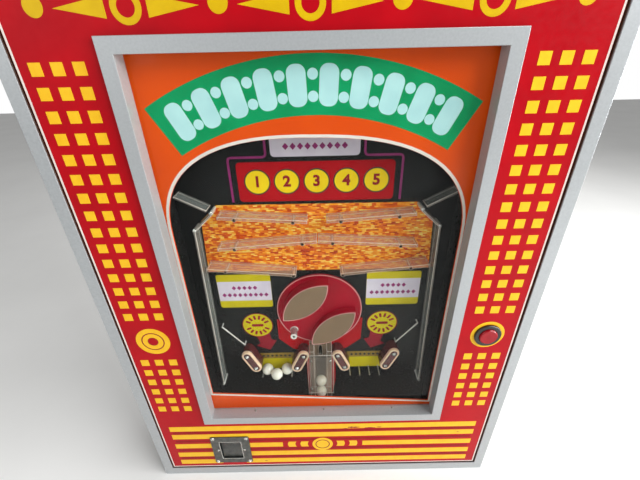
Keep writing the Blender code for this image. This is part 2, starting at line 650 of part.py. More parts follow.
def selector_disc():
    """The turning disc with two leaf-shaped islands and a post, on a shaft from the motor."""
    axis = pivot("disc_axis", (0, 0, DISC_HEIGHT), STAND)
    centre = Vector((0, 0, DISC_HEIGHT))
    bore = SHAFT_R + CLEAR
    loops = [circle(DISC_R, 64), circle(bore, 16)]
    prism("selector_disc", loops, (disc_front, on_board), DISC_RED, at=centre, parent=axis)
    along = Vector((math.cos(LEAF_ANGLE), 0, math.sin(LEAF_ANGLE)))
    across = Vector((-math.sin(LEAF_ANGLE), 0, math.cos(LEAF_ANGLE)))
    for name, sign, tall in (("island_upper", 1, ISLAND_TALL), ("island_lower", -1, LOWER_ISLAND_TALL)):
        place = centre + sign * (across * LEAF_OFFSET + along * LEAF_SHIFT)
        outline = leaf(LEAF_LONG, LEAF_WIDE)
        island = prism(name, [outline], (PLAY_DEPTH - tall, on_disc), BEIGE, at=place, parent=axis)
        island.rotation_euler.y = -LEAF_ANGLE
    tip = PLAY_DEPTH - POST_TALL
    post = [(0, tip + 0.006), (POST_BORE, tip + 0.006), (POST_BORE, tip), (POST_R - 0.0008, tip),
            (POST_R, tip + 0.0008), (POST_R, on_disc), (0, on_disc)]
    turned("disc_post", post, CHROME, 20, "Y", centre - along * POST_ORBIT, axis)
    head = on_disc - SHAFT_HEAD
    shaft = [(0, head), (SHAFT_HEAD_R, head), (SHAFT_HEAD_R, on_disc), (SHAFT_R, on_disc),
             (SHAFT_R, behind_board + SHAFT_SEAT), (0, behind_board + SHAFT_SEAT)]
    turned("disc_shaft", shaft, STEEL, 16, "Y", centre, axis)
    back = behind_board + MOTOR_GEARS
    seat = behind_board + SHAFT_SEAT + CLEAR
    room = SHAFT_R + SHAFT_FIT
    motor = [(0, seat), (room, seat), (room, behind_board), (MOTOR_R, behind_board), (MOTOR_R, back),
             (MOTOR_CAN_R, back), (MOTOR_CAN_R, back + MOTOR_CAN), (0, back + MOTOR_CAN)]
    turned("gear_motor", motor, GREY_SHEET, 24, "Y", centre)


def chute():
    """The exit channel: back plate with the lever's slot, two walls and a floor, closed by a clear cover."""
    outer = chute_half + CHUTE_WALL
    back = oblong(2 * outer, CHUTE_BACK_HIGH - CHUTE_LOW, (0, (CHUTE_BACK_HIGH + CHUTE_LOW) / 2))
    gap = oblong(SLOT_WIDE, SLOT_HIGH - SLOT_LOW, (0, (SLOT_HIGH + SLOT_LOW) / 2))
    made = prism("ball_chute", [back, gap], (channel_back, on_board), ACRYLIC)
    meet = on_board - CHUTE_BACK / 2
    step = PLAY_DEPTH - CHUTE_STEP
    wall = [(channel_front, CHUTE_LOW), (meet, CHUTE_LOW), (meet, CHUTE_BACK_HIGH - 0.001),
            (step, CHUTE_BACK_HIGH - 0.001), (step, CHUTE_HIGH), (channel_front, CHUTE_HIGH)]
    for sign in (-1, 1):
        ends = sorted((sign * chute_half, sign * outer))
        combine(made, prism_shape([wall], *ends, "X"), "UNION")
    middle = (channel_front + meet) / 2
    floor = oblong(meet - channel_front, CHUTE_FLOOR, (middle, CHUTE_LOW + CHUTE_FLOOR / 2))
    reach = chute_half + CHUTE_WALL / 2
    combine(made, prism_shape([floor], -reach, reach, "X"), "UNION")
    plate = oblong(2 * COVER_HALF, COVER_HIGH - COVER_LOW, (0, (COVER_HIGH + COVER_LOW) / 2))
    prism("chute_cover", [plate], (cover_back - COVER_WALL, cover_back), ACRYLIC)


def ball_switch():
    """A lever that reaches into the chute through its slot, and the switch body that it turns in."""
    depth, height = board_back + LEVER_SET, LEVER_HEIGHT
    up = LEVER_TOP - height
    tip = PLAY_DEPTH - LEVER_REACH - depth
    bar = LEVER_BAR / 2
    neck = math.degrees(math.asin(bar / LEVER_EYE_R))
    eye = arc((0, 0), LEVER_EYE_R, 90 + neck, 450 - neck, 12)
    section = eye + [(bar, up), (tip, up), (tip, up - LEVER_BAR), (-bar, up - LEVER_BAR)]
    place = (0, depth, height)
    axis = pivot("lever_axis", place, STAND)
    prism("switch_lever", [section], (-LEVER_BLADE / 2, LEVER_BLADE / 2), STEEL, "X", place, axis)
    middle = behind_board + SWITCH_DEEP / 2
    body = oblong(SWITCH_DEEP, SWITCH_TALL, (middle, height - SWITCH_TALL / 4))
    switch = prism("ball_switch", [body], (-SWITCH_WIDE / 2, SWITCH_WIDE / 2), BLACK_PLASTIC, "X")
    room = LEVER_EYE_R + CLEAR
    cut = oblong(2 * SWITCH_DEEP, SWITCH_TALL, (middle, height - room + SWITCH_TALL / 2))
    combine(switch, prism_shape([cut], -LEVER_BLADE / 2 - CLEAR, LEVER_BLADE / 2 + CLEAR, "X"))


def bumpers():
    """Plum posts in pairs on a foot, each pair with a rubber ring stretched round it."""
    for side, sign in (("left", -1), ("right", 1)):
        for place, (upper, lower) in bumper_posts.items():
            ends = [(sign * x, z) for x, z in (lower, upper)]
            foot = prism(f"bumper_{place}_{side}", [slot(*ends, BUMPER_FOOT_R)], (foot_front, on_board), PLUM)
            post = prism_shape([slot(*ends, BUMPER_POST_R)], on_board - ISLAND_TALL, foot_front + 0.002)
            combine(foot, post, "UNION")
            loops = [slot(*ends, RUBBER_R), slot(*ends, BUMPER_POST_R + CLEAR)]
            back = foot_front - CLEAR
            prism(f"rubber_{place}_{side}", loops, (back - RUBBER_DEEP, back), CREAM_RUBBER)


def trays():
    """Combs of four pins that come through the board, and the bent wires above them."""
    middle = (pin_rows[0] + pin_rows[-1]) / 2
    for side, sign in (("left", -1), ("right", 1)):
        place = (sign * middle, behind_board, PIN_HEIGHT)
        axis = pivot(f"comb_axis_{side}", place, STAND)
        bar = oblong(PINS * PIN_PITCH, PIN_BAR_TALL)
        comb = prism(f"pin_comb_{side}", [bar], (0, PIN_BAR), STEEL, at=place, parent=axis)
        tip = ball_front - PIN_BEYOND
        for x in pin_rows:
            pin = prism_shape([circle(PIN_R, 8, (sign * x, PIN_HEIGHT))], tip, behind_board + PIN_BAR / 2)
            combine(comb, pin, "UNION")
        line = bpy.data.curves.new(f"deflector_wire_{side}", "CURVE")
        line.dimensions = "3D"
        line.bevel_depth = WIRE_R
        line.bevel_resolution = 2
        line.use_fill_caps = True
        spline = line.splines.new("POLY")
        (top_x, top_z), (low_x, low_z) = WIRE_ENDS
        front = PLAY_DEPTH - WIRE_OFF
        route = ((top_x, on_board, top_z), (top_x, front, top_z), (low_x, front, low_z),
                 (low_x, on_board, low_z))
        spline.points.add(len(route) - 1)
        for point, (x, y, z) in zip(spline.points, route):
            point.co = (sign * x, y, z, 1)
        line.materials.append(STEEL)
        wire = bpy.data.objects.new(f"deflector_wire_{side}", line)
        bpy.context.scene.collection.objects.link(wire)
        wire.parent = STAND


def balls():
    """Three balls zigzag on the left comb's pins, and two in the chute."""
    room = BALL_R + PIN_R + CLEAR
    rest = PIN_HEIGHT + math.sqrt(room ** 2 - (PIN_PITCH / 2) ** 2)
    first = -pin_rows[0] - PIN_PITCH / 2
    depths = (ball_back, ball_front, ball_back)
    places = [(first - i * PIN_PITCH, depth, rest) for i, depth in enumerate(depths)]
    low = Vector((0, cover_back + CLEAR + BALL_R, CHUTE_LOW + CHUTE_FLOOR + CLEAR + BALL_R))
    deep = channel_back - CLEAR - BALL_R - low.y
    climb = math.sqrt((2 * BALL_R + CLEAR) ** 2 - deep ** 2)
    places += [tuple(low), (0, low.y + deep, low.z + climb)]
    for number, place in enumerate(places, 1):
        shape = bmesh.new()
        bmesh.ops.create_icosphere(shape, subdivisions=3, radius=BALL_R)
        ball = settle(f"ball_{number}", shape, IVORY, place)
        ball.data.shade_smooth()


# ---------------------------------------------------------------- inside the case
def cash_box():
    """An open steel box on the cabinet floor."""
    wide, deep, tall = CASH_BOX
    at = (CASH_X, CABINET_DEPTH - BACK_BOARD - CASH_GAP - deep / 2, floor_top + CLEAR)
    box = prism("cash_box", [oblong(wide, deep)], (0, tall), GREY_SHEET, "Z", at)
    inside = prism_shape([oblong(wide - 2 * CASH_WALL, deep - 2 * CASH_WALL)], CASH_WALL, tall + 0.01, "Z")
    combine(box, inside, at=at)


for build in (side_panels, floor_and_top, pivot_pins, back_panel, edge_trim, side_lock, front_panel,
              window, push_button, coin_cup, coin_acceptor, playfield, ramps, guides, selector_disc,
              chute, ball_switch, bumpers, trays, balls, cash_box):
    build()
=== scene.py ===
import json
import math

import bmesh
import bpy
import numpy as np
from mathutils import Matrix, Vector

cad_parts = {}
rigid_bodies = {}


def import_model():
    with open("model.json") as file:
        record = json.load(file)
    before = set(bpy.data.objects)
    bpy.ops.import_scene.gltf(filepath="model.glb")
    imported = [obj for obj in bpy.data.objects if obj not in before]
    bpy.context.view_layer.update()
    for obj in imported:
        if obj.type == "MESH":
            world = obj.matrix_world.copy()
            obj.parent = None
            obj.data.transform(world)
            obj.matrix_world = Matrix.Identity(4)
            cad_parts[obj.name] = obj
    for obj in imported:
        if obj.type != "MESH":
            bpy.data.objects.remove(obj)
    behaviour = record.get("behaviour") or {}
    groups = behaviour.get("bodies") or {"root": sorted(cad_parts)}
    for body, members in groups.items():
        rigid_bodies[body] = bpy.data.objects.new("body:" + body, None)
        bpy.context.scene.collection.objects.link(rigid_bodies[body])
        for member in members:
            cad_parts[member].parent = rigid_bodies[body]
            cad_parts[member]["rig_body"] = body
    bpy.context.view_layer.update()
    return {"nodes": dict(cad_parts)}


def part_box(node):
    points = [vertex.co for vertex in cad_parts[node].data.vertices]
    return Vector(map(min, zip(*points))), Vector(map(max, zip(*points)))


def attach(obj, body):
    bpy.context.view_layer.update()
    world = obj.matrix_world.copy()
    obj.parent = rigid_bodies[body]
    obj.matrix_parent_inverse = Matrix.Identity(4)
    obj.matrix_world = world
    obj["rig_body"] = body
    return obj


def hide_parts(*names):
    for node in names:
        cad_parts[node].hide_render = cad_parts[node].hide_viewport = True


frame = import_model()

# Places shared by the prints and fittings, in metres. Depths count backwards from the door's printed face.
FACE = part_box("front_panel")[0].y
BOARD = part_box("playfield_board")[0].y - FACE
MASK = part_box("window_mask")[0].y - FACE
WINDOW_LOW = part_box("window_frame")[0].z
DISC = 0.389                    # height of the selector disc's axle
INK = 0.00012                   # how far one layer of print stands off its board


# ---------------------------------------------------------------- colour and nodes
def linear(code):
    """An sRGB hex colour as the linear value that a shader takes."""
    level = np.array([int(code[i:i + 2], 16) for i in (0, 2, 4)]) / 255
    value = np.where(level <= 0.04045, level / 12.92, ((level + 0.055) / 1.055) ** 2.4)
    return (*value, 1.0)


def add(tree, kind, links=None, **settings):
    """Add one node, with its settings, and fill each named input with a value or another node's output."""
    node = tree.nodes.new(kind)
    for name, value in settings.items():
        setattr(node, name, value)
    for name, value in (links or {}).items():
        if isinstance(value, bpy.types.NodeSocket):
            tree.links.new(value, node.inputs[name])
        else:
            node.inputs[name].default_value = value
    return node


def blank(name):
    """A new material, its node tree and its Principled shader."""
    made = bpy.data.materials.new(name)
    made.use_nodes = True
    return made, made.node_tree, made.node_tree.nodes["Principled BSDF"]


NOISE_LOW, NOISE_HIGH = 0.3, 0.7     # nearly all values of a noise texture lie between these
RELIEF = 0.0005                      # height in metres of a full bump, before its strength


def finish(name, tone, other, size, rough, bump=0.05, grain=(1, 1, 1), fine=8, **values):
    """Two tones mottled by noise of the given size in mm, stretched by grain, with finer bump and roughness.

    rough is the least and most roughness, fine is how many times finer the bump is than the mottling.
    """
    made, tree, shader = blank(name)
    place = add(tree, "ShaderNodeTexCoord").outputs["Object"]
    scale = [1000 / (size * g) for g in grain]
    laid = add(tree, "ShaderNodeMapping", {"Vector": place, "Scale": scale}).outputs[0]
    broad = add(tree, "ShaderNodeTexNoise", {"Vector": laid, "Scale": 1.0, "Detail": 4.0}).outputs["Fac"]
    spread = {"Value": broad, "From Min": NOISE_LOW, "From Max": NOISE_HIGH}
    share = add(tree, "ShaderNodeMapRange", spread).outputs[0]
    mixed = add(tree, "ShaderNodeMix", {0: share, 6: linear(tone), 7: linear(other)}, data_type="RGBA")
    tree.links.new(mixed.outputs[2], shader.inputs["Base Color"])
    close = add(tree, "ShaderNodeTexNoise", {"Vector": laid, "Scale": fine, "Detail": 3.0}).outputs["Fac"]
    level = {"Value": close, "From Min": NOISE_LOW, "From Max": NOISE_HIGH,
             "To Min": rough[0], "To Max": rough[1]}
    tree.links.new(add(tree, "ShaderNodeMapRange", level).outputs[0], shader.inputs["Roughness"])
    raised = add(tree, "ShaderNodeBump", {"Height": close, "Strength": bump, "Distance": RELIEF})
    tree.links.new(raised.outputs[0], shader.inputs["Normal"])
    for socket, value in values.items():
        shader.inputs[socket.replace("_", " ")].default_value = value
    return made


def ink(name, tone, other, size, shine=0.5, rough=(0.3, 0.42), bump=0.04):
    """A film of printing ink: a finish with little relief, whose shine is the shader's specular level."""
    return finish(name, tone, other, size, rough, bump, Specular_IOR_Level=shine)


def through(name, tint, body, least, most, rough, size):
    """Clear sheet seen as a film: mostly open, with a milky share that grows as the surface turns away.

    The share runs from least, face on, to most at a glancing view, and clouding of the given size in mm
    adds to it.
    """
    made, tree, shader = blank(name)
    shader.inputs["Base Color"].default_value = linear(body)
    shader.inputs["IOR"].default_value = 1.49
    place = add(tree, "ShaderNodeTexCoord").outputs["Object"]
    cloud = {"Vector": place, "Scale": 1000 / size, "Detail": 3.0}
    wipe = add(tree, "ShaderNodeTexNoise", cloud).outputs["Fac"]
    level = {"Value": wipe, "From Min": 0.35, "From Max": 0.75, "To Min": rough[0], "To Max": rough[1]}
    tree.links.new(add(tree, "ShaderNodeMapRange", level).outputs[0], shader.inputs["Roughness"])
    wave = add(tree, "ShaderNodeBump", {"Height": wipe, "Strength": 0.04, "Distance": RELIEF})
    tree.links.new(wave.outputs[0], shader.inputs["Normal"])
    turned = add(tree, "ShaderNodeLayerWeight", {"Blend": 0.45}).outputs["Facing"]
    both = add(tree, "ShaderNodeMath", {0: wipe, 1: 0.25, 2: turned}, operation="MULTIPLY_ADD").outputs[0]
    film = {"Value": both, "From Min": 0.1, "From Max": 1.1, "To Min": least, "To Max": most}
    share = add(tree, "ShaderNodeMapRange", film).outputs[0]
    air = add(tree, "ShaderNodeBsdfTransparent", {"Color": linear(tint)}).outputs[0]
    mixed = add(tree, "ShaderNodeMixShader", {0: share, 1: air, 2: shader.outputs[0]})
    tree.links.new(mixed.outputs[0], tree.nodes["Material Output"].inputs["Surface"])
    return made


def pane(name, tint, size):
    """Flat window glass: the eye sees it bend and mirror light a little, with wipe marks of the size in mm.

    Lamps shine straight through, and so does light on its way back from what is inside, so it counts once.
    """
    made, tree, shader = blank(name)
    shader.inputs["Base Color"].default_value = linear(tint)
    shader.inputs["Transmission Weight"].default_value = 1.0
    shader.inputs["IOR"].default_value = 1.15
    place = add(tree, "ShaderNodeTexCoord").outputs["Object"]
    smear = {"Vector": place, "Scale": 1000 / size, "Detail": 3.0}
    wipe = add(tree, "ShaderNodeTexNoise", smear).outputs["Fac"]
    level = {"Value": wipe, "From Min": 0.5, "From Max": 0.8, "To Min": 0.0, "To Max": 0.04}
    tree.links.new(add(tree, "ShaderNodeMapRange", level).outputs[0], shader.inputs["Roughness"])
    air = add(tree, "ShaderNodeBsdfTransparent", {"Color": linear(tint)}).outputs[0]
    ray = add(tree, "ShaderNodeLightPath").outputs
    returning = {0: ray["Is Reflection Ray"], 1: shader.outputs[0], 2: air}
    seen = add(tree, "ShaderNodeMixShader", returning).outputs[0]
    both = add(tree, "ShaderNodeMixShader", {0: ray["Is Shadow Ray"], 1: seen, 2: air})
    tree.links.new(both.outputs[0], tree.nodes["Material Output"].inputs["Surface"])
    return made


def dashed_print(name):
    """Printed foil: level dashes 6.5 mm long and 2.5 mm tall, each in its own red, orange or yellow.

    Broad patches, about 60 mm across, shift the whole scale of tones towards yellow or red.
    """
    made, tree, shader = blank(name)
    place = add(tree, "ShaderNodeTexCoord").outputs["Object"]
    part = add(tree, "ShaderNodeSeparateXYZ", {"Vector": place}).outputs
    board = add(tree, "ShaderNodeCombineXYZ", {"X": part["X"], "Y": part["Z"]}).outputs[0]
    course = {"Vector": board, "Scale": 1.0, "Brick Width": 0.0065, "Row Height": 0.0025,
              "Color1": (0, 0, 0, 1), "Color2": (1, 1, 1, 1), "Mortar": (0.3, 0.3, 0.3, 1),
              "Mortar Size": 0.0002, "Mortar Smooth": 0.3}
    dash = add(tree, "ShaderNodeTexBrick", course, offset=0.37, offset_frequency=3).outputs["Color"]
    patch = add(tree, "ShaderNodeTexNoise", {"Vector": board, "Scale": 17.0, "Detail": 2.0}).outputs["Fac"]
    blend = {0: patch, 1: 0.7, 2: dash}
    level = add(tree, "ShaderNodeMath", blend, operation="MULTIPLY_ADD").outputs[0]
    level = add(tree, "ShaderNodeMapRange", {"Value": level, "From Min": 0.28, "From Max": 1.42}).outputs[0]
    tones = add(tree, "ShaderNodeValToRGB", {"Fac": level})
    scale = tones.color_ramp.elements
    scale[0].color = linear("AE2A0A")
    scale[1].color = linear("FFE878")
    for spot, tone in ((0.22, "DC540E"), (0.45, "F08412"), (0.7, "FFB02A")):
        scale.new(spot).color = linear(tone)
    tree.links.new(tones.outputs["Color"], shader.inputs["Base Color"])
    shader.inputs["Roughness"].default_value = 0.38
    shader.inputs["Specular IOR Level"].default_value = 0.25
    return made


# Screen inks on laminate: flat, slightly uneven reds under a satin lacquer, which hardly mirror.
CRIMSON = ink("crimson_screen_print_on_laminate", "BC0616", "AA0514", 60, 0.12, (0.28, 0.40))
# A darker red, for the bars between the yellow stripes: painted shade beneath the stripes.
SHADE_RED = ink("dark_red_painted_shade", "9A0C14", "8A0A10", 30, 0.12)
DEEP_RED = ink("deep_red_screen_print", "86041E", "960622", 30, 0.2)
# Opaque ink laid over the red: warm yellow, thinner at places, so its film is less level.
YELLOW = ink("yellow_screen_print", "F8C624", "F2BA1C", 14, 0.2, bump=0.06)
LEMON = ink("lemon_screen_print", "FAD812", "F0CC0A", 20, 0.2, bump=0.06)
HEADER_LEMON = ink("lemon_print_on_laminate", "DEB804", "D2AA02", 20, 0.2, bump=0.06)
# Ink on a styrene sheet: even and strong in colour, on a smooth ground.
ORANGE = ink("orange_reverse_print_on_styrene", "E85204", "DE4A02", 80, 0.2, (0.3, 0.4), 0.03)
GREEN = ink("green_reverse_print", "029C60", "018E54", 40, 0.2, (0.3, 0.4), 0.03)
# Pale inks, filled with white pigment: chalky and bright.
PALE_BLUE = ink("pale_blue_screen_print", "BCE8E8", "AEDCDE", 25)
WHITE = ink("white_screen_print", "EEE4DC", "E2D6CE", 25)
LILAC = ink("lilac_white_screen_print", "E4DCE8", "D6CCDC", 25)
# Inks on the black board: small figures and lines, matter where the board shows through.
ACID = ink("acid_yellow_screen_print", "D6C60A", "CABA08", 18, 0.2)
MAGENTA = ink("magenta_screen_print", "9C1470", "860F60", 12, rough=(0.35, 0.45))
OCHRE = ink("ochre_screen_print", "9A7D1C", "866A16", 12, rough=(0.35, 0.45), bump=0.05)
# Pale pink lines round the red disc and its islands: painted highlight where their edges catch the light;
# round the islands they are partly the pale cut edge too.
PINK_EDGE_HIGHLIGHT = ink("pale_pink_painted_edge_highlight", "E8A8A8", "D69494", 12, rough=(0.35, 0.45))
# Pale tan for the lower part of the panel behind the chute, under the clear cover: painted light, a paler
# copy of the beige above.
CHUTE_PAINTED_LIGHT = ink("tan_painted_light_under_cover", "D0AE9A", "C4A08C", 12, rough=(0.4, 0.5), bump=0.05)
BLACK_INK = ink("black_screen_print", "171512", "221E1A", 15, rough=(0.35, 0.5))
# Foil printed with short dashes and glued to the board: it flickers in red, orange and yellow.
PICTURE = dashed_print("dashed_foil_print")
# Black-stained hardboard with a lacquered face that has gathered dust.
BOARD_BLACK = finish("black_lacquered_hardboard", "0F1112", "191B1B", 35, (0.22, 0.42), 0.04,
                     Specular_IOR_Level=0.18)
# Hardboard, pressed from brown fibre and left raw: mottled and matt, used where nobody looks.
HARDBOARD = finish("raw_pressed_hardboard", "7C5A3C", "634529", 16, (0.55, 0.75), 0.25, fine=12)
# Walnut-grain decor paper pressed on chipboard: long brown streaks up the case.
WALNUT = finish("walnut_grain_melamine", "5A3620", "3E2415", 7, (0.38, 0.52), 0.12, grain=(1, 1, 22))
# Aluminium extrusion, drawn and anodised: a fine-grained, pale satin grey.
ALUMINIUM = finish("anodised_aluminium_extrusion", "B4B8BA", "ABAFB1", 2.5, (0.34, 0.42), 0.05, fine=3,
                   Metallic=0.35)
# Sheet steel, rolled and dulled by handling: dark grey, with blurred and uneven reflections.
STEEL = finish("rolled_sheet_steel", "6E716F", "565957", 9, (0.30, 0.48), 0.12, Metallic=1.0)
# Nickel plate on turned and bent steel: bright, with soft reflections.
BRIGHT_STEEL = finish("nickel_plated_steel", "D4D4CE", "BCBCB6", 5, (0.16, 0.30), 0.05, Metallic=0.7)
WHITE_NICKEL = finish("polished_nickel", "F0EEE8", "E2E0D8", 4, (0.14, 0.24), 0.03, Metallic=0.35)
# Small steel parts from a barrel, zinc-plated to a dull grey or blued to near black.
SCREW_STEEL = finish("zinc_plated_screw_steel", "9A9890", "7C7A72", 3, (0.25, 0.42), 0.08, Metallic=1.0)
DARK_STEEL = finish("blued_screw_steel", "4C4440", "38322E", 3, (0.2, 0.35), 0.06, Metallic=0.8)
# Galvanised sheet: pale grey in large blotches.
ZINC = finish("galvanised_sheet", "A9ADAF", "8F9497", 14, (0.35, 0.5), 0.08, Metallic=0.9)
# Float glass, wiped by hand: clear, with a few dull smears.
GLASS = pane("float_glass", "FAFCFB", 60)
# Cast acrylic, sawn into strips and sheets, clouded and scratched by the balls.
ACRYLIC = through("clouded_cast_acrylic", "F8F4F0", "F0CDB2", 0.14, 0.48, (0.12, 0.3), 6)
GUIDE_ACRYLIC = through("clear_cast_acrylic_strip", "E6E8E6", "A2A6A2", 0.16, 0.6, (0.1, 0.2), 8)
COVER_ACRYLIC = through("clear_cast_acrylic_sheet", "FCFBF9", "ECDFD2", 0.01, 0.12, (0.1, 0.2), 8)
# The polished edges of the same sheets, painted pale: a painted glow for the light that runs inside them and
# comes out there.
ACRYLIC_EDGE_GLOW = finish("acrylic_edge_painted_glow", "E2D6CC", "C8BAAE", 5, (0.15, 0.3), 0.05)
# Lacquer sprayed on a turned disc: deep red and level.
DISC_RED = finish("red_lacquered_disc", "B00224", "9A021E", 30, (0.3, 0.42), 0.04, Specular_IOR_Level=0.15)
# Moulded polystyrene: matt on the islands, glossy on the bumpers. The darker plum round the bumpers' screws
# is painted shade, for a recessed look.
BEIGE = finish("beige_moulded_polystyrene", "82694F", "776047", 12, (0.45, 0.6), 0.1)
PLUM = finish("plum_moulded_polystyrene", "5C2426", "481A1C", 8, (0.14, 0.28), 0.05)
PLUM_PAINTED_SHADE = finish("plum_painted_shade_round_the_screws", "38120F", "2C0E0C", 5, (0.2, 0.35), 0.05)
# Moulded rubber: cream, matt and a little translucent.
RUBBER = finish("cream_moulded_rubber", "FADABC", "EEC0A0", 6, (0.5, 0.65), 0.15, Subsurface_Weight=0.1)
# Phenolic balls, cast and tumbled: off-white and smooth.
BALL = finish("white_cast_phenolic", "F6F3E8", "EAE5D6", 8, (0.18, 0.3), 0.03, Subsurface_Weight=0.05)
# Moulded plastic of the button and switch: fine-grained black, and a smooth deep red.
BLACK_PLASTIC = finish("black_moulded_abs", "1A1A1B", "232324", 5, (0.3, 0.45), 0.12)
RED_PLASTIC = finish("red_moulded_acrylic", "A80418", "960214", 10, (0.16, 0.26), 0.03,
                     Specular_IOR_Level=0.3)


# ---------------------------------------------------------------- surfaces
def loft(rows, closed):
    """Vertices and faces of a solid whose closed section, rows[i], is carried along i, with caps if open."""
    stations, points = rows.shape[:2]
    index = np.arange(stations * points).reshape(stations, points)
    here = index if closed else index[:-1]
    ahead = np.roll(index, -1, axis=0) if closed else index[1:]
    quads = np.stack([here, np.roll(here, -1, 1), np.roll(ahead, -1, 1), ahead], axis=-1).reshape(-1, 4)
    caps = [] if closed else [index[0].tolist(), index[-1, ::-1].tolist()]
    return rows.reshape(-1, 3), quads.tolist() + caps


def piece(name, solids, material, body, stands_for=(), angle=40):
    """One visible piece out of lofted solids, in door coordinates: across, depth behind the face, height."""
    points, faces = [], []
    for rows, closed in solids:
        part, sides = loft(np.asarray(rows, float), closed)
        start = sum(len(p) for p in points)
        points.append(part)
        faces += [[start + i for i in side] for side in sides]
    places = np.concatenate(points)
    places[:, 1] += FACE
    mesh = bpy.data.meshes.new(name)
    mesh.from_pydata(places.tolist(), [], faces)
    shape = bmesh.new()
    shape.from_mesh(mesh)
    bmesh.ops.remove_doubles(shape, verts=shape.verts[:], dist=0.000002)
    bmesh.ops.recalc_face_normals(shape, faces=shape.faces[:])
    shape.to_mesh(mesh)
    shape.free()
    return show(name, mesh, material, body, stands_for, angle)


def show(name, mesh, material, body, stands_for=(), angle=40):
    """Put a finished mesh in the scene with its material, on its body, in place of the CAD nodes named."""
    mesh.materials.clear()
    mesh.materials.append(material)
    mesh.shade_smooth()
    mesh.set_sharp_from_angle(angle=math.radians(angle))
    made = bpy.data.objects.new(name, mesh)
    bpy.context.scene.collection.objects.link(made)
    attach(made, body)
    if stands_for:
        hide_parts(*stands_for)
    return made


def dress(material, *names, edge=0.0, steps=2, trim=None, rear=None):
    """Copy CAD nodes, weld their loose triangles, round the sharp edges by edge and give them a finish.

    The rounding takes the finish trim, and faces that look backwards take the finish rear, if one is given.
    """
    for name in names:
        node = frame["nodes"][name]
        shape = bmesh.new()
        shape.from_mesh(node.data)
        bmesh.ops.remove_doubles(shape, verts=shape.verts[:], dist=0.000005)
        bmesh.ops.dissolve_limit(shape, angle_limit=math.radians(0.5), verts=shape.verts[:],
                                 edges=shape.edges[:])
        mesh = bpy.data.meshes.new(name + "_finished")
        shape.to_mesh(mesh)
        shape.free()
        made = show(name + "_finished", mesh, material, node["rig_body"], (name,))
        if edge:
            round_edge = made.modifiers.new("edges", "BEVEL")
            round_edge.width = edge
            round_edge.segments = steps
            round_edge.limit_method = "ANGLE"
            round_edge.angle_limit = math.radians(50)
            if trim:
                mesh.materials.append(trim)
                round_edge.material = 1
        if rear:
            mesh.materials.append(rear)
            normals = np.empty(len(mesh.polygons) * 3)
            mesh.polygons.foreach_get("normal", normals)
            backwards = normals[1::3] > 0.9
            mesh.polygons.foreach_set("material_index", backwards.astype(np.int32))


def flat(a, b, closed, front, back):
    """A thin print ruled between two outlines a(t) and b(t), drawn out from one depth to another."""
    a, b = np.asarray(a, float), np.asarray(b, float)
    rows = np.empty((len(a), 4, 3))
    for corner, (edge, depth) in enumerate(((a, front), (b, front), (b, back), (a, back))):
        rows[:, corner, ::2] = edge
        rows[:, corner, 1] = depth
    return rows, closed


def prints(name, shapes, material, body, surface, layer=1):
    """All prints of one ink on a board whose face is at depth surface. A higher layer covers a lower one."""
    front, back = surface - layer * INK, surface + INK / 2
    piece(name, [flat(a, b, closed, front, back) for a, b, closed in shapes], material, body)


def box(x0, z0, x1, z1):
    """A rectangle between its lower and upper edge."""
    return [(x0, z0), (x1, z0)], [(x0, z1), (x1, z1)], False


def round_spot(x, z, radius, steps=28):
    """A disc, ruled between its two half circles, x - R * cos(t) and z -/+ R * sin(t) for t in 0 to pi."""
    turn = np.linspace(0, np.pi, steps)
    across, rise = x - radius * np.cos(turn), radius * np.sin(turn)
    return np.stack([across, z - rise], 1), np.stack([across, z + rise], 1), False


def ring(x, z, inner, outer, steps=48):
    """A flat ring between two circles round (x, z), of the radii inner and outer."""
    turn = np.linspace(0, 2 * np.pi, steps, endpoint=False)
    way = np.stack([np.cos(turn), np.sin(turn)], 1)
    return way * inner + (x, z), way * outer + (x, z), True


def soft_box(x, z, wide, tall, radius, steps=6):
    """A rectangle with round corners, ruled between its lower and upper outline.

    Each outline is two quarter circles of the given radius, moved apart to the rectangle's sides.
    """
    turn = np.concatenate([np.linspace(np.pi, np.pi / 2, steps), np.linspace(np.pi / 2, 0, steps)])
    side = np.repeat([-1.0, 1.0], steps) * (wide / 2 - radius)
    across, rise = x + side + radius * np.cos(turn), tall / 2 - radius + radius * np.sin(turn)
    return np.stack([across, z - rise], 1), np.stack([across, z + rise], 1), False


def turned_to(shape, centre, angle):
    """A print's outlines turned about a point."""
    spin = np.array([[math.cos(angle), -math.sin(angle)], [math.sin(angle), math.cos(angle)]])
    a, b, closed = shape
    a, b = ((np.asarray(edge) - centre) @ spin.T + centre for edge in (a, b))
    return a, b, closed


def both_sides(shapes):
    """The shapes and their mirror images about the middle plane."""
    flip = np.array([-1.0, 1.0])
    return shapes + [(np.asarray(a) * flip, np.asarray(b) * flip, closed) for a, b, closed in shapes]


def stroke(path, width):
    """A line of even width: the path moved half a width to either side, square to its mean direction."""
    path = np.asarray(path, float)
    along = np.gradient(path, axis=0)
    along /= np.linalg.norm(along, axis=1, keepdims=True)
    across = np.stack([-along[:, 1], along[:, 0]], 1) * width / 2
    return path - across, path + across, False


def lathe(profile, x, z, steps=32):
    """A profile of (radius, depth) spun round an axis that runs front to back through (x, z)."""
    profile = np.asarray(profile, float)
    turn = np.linspace(0, 2 * np.pi, steps, endpoint=False)[:, None]
    rows = np.empty((steps, len(profile), 3))
    rows[:, :, 0] = x + np.cos(turn) * profile[:, 0]
    rows[:, :, 1] = profile[:, 1]
    rows[:, :, 2] = z + np.sin(turn) * profile[:, 0]
    return rows, True


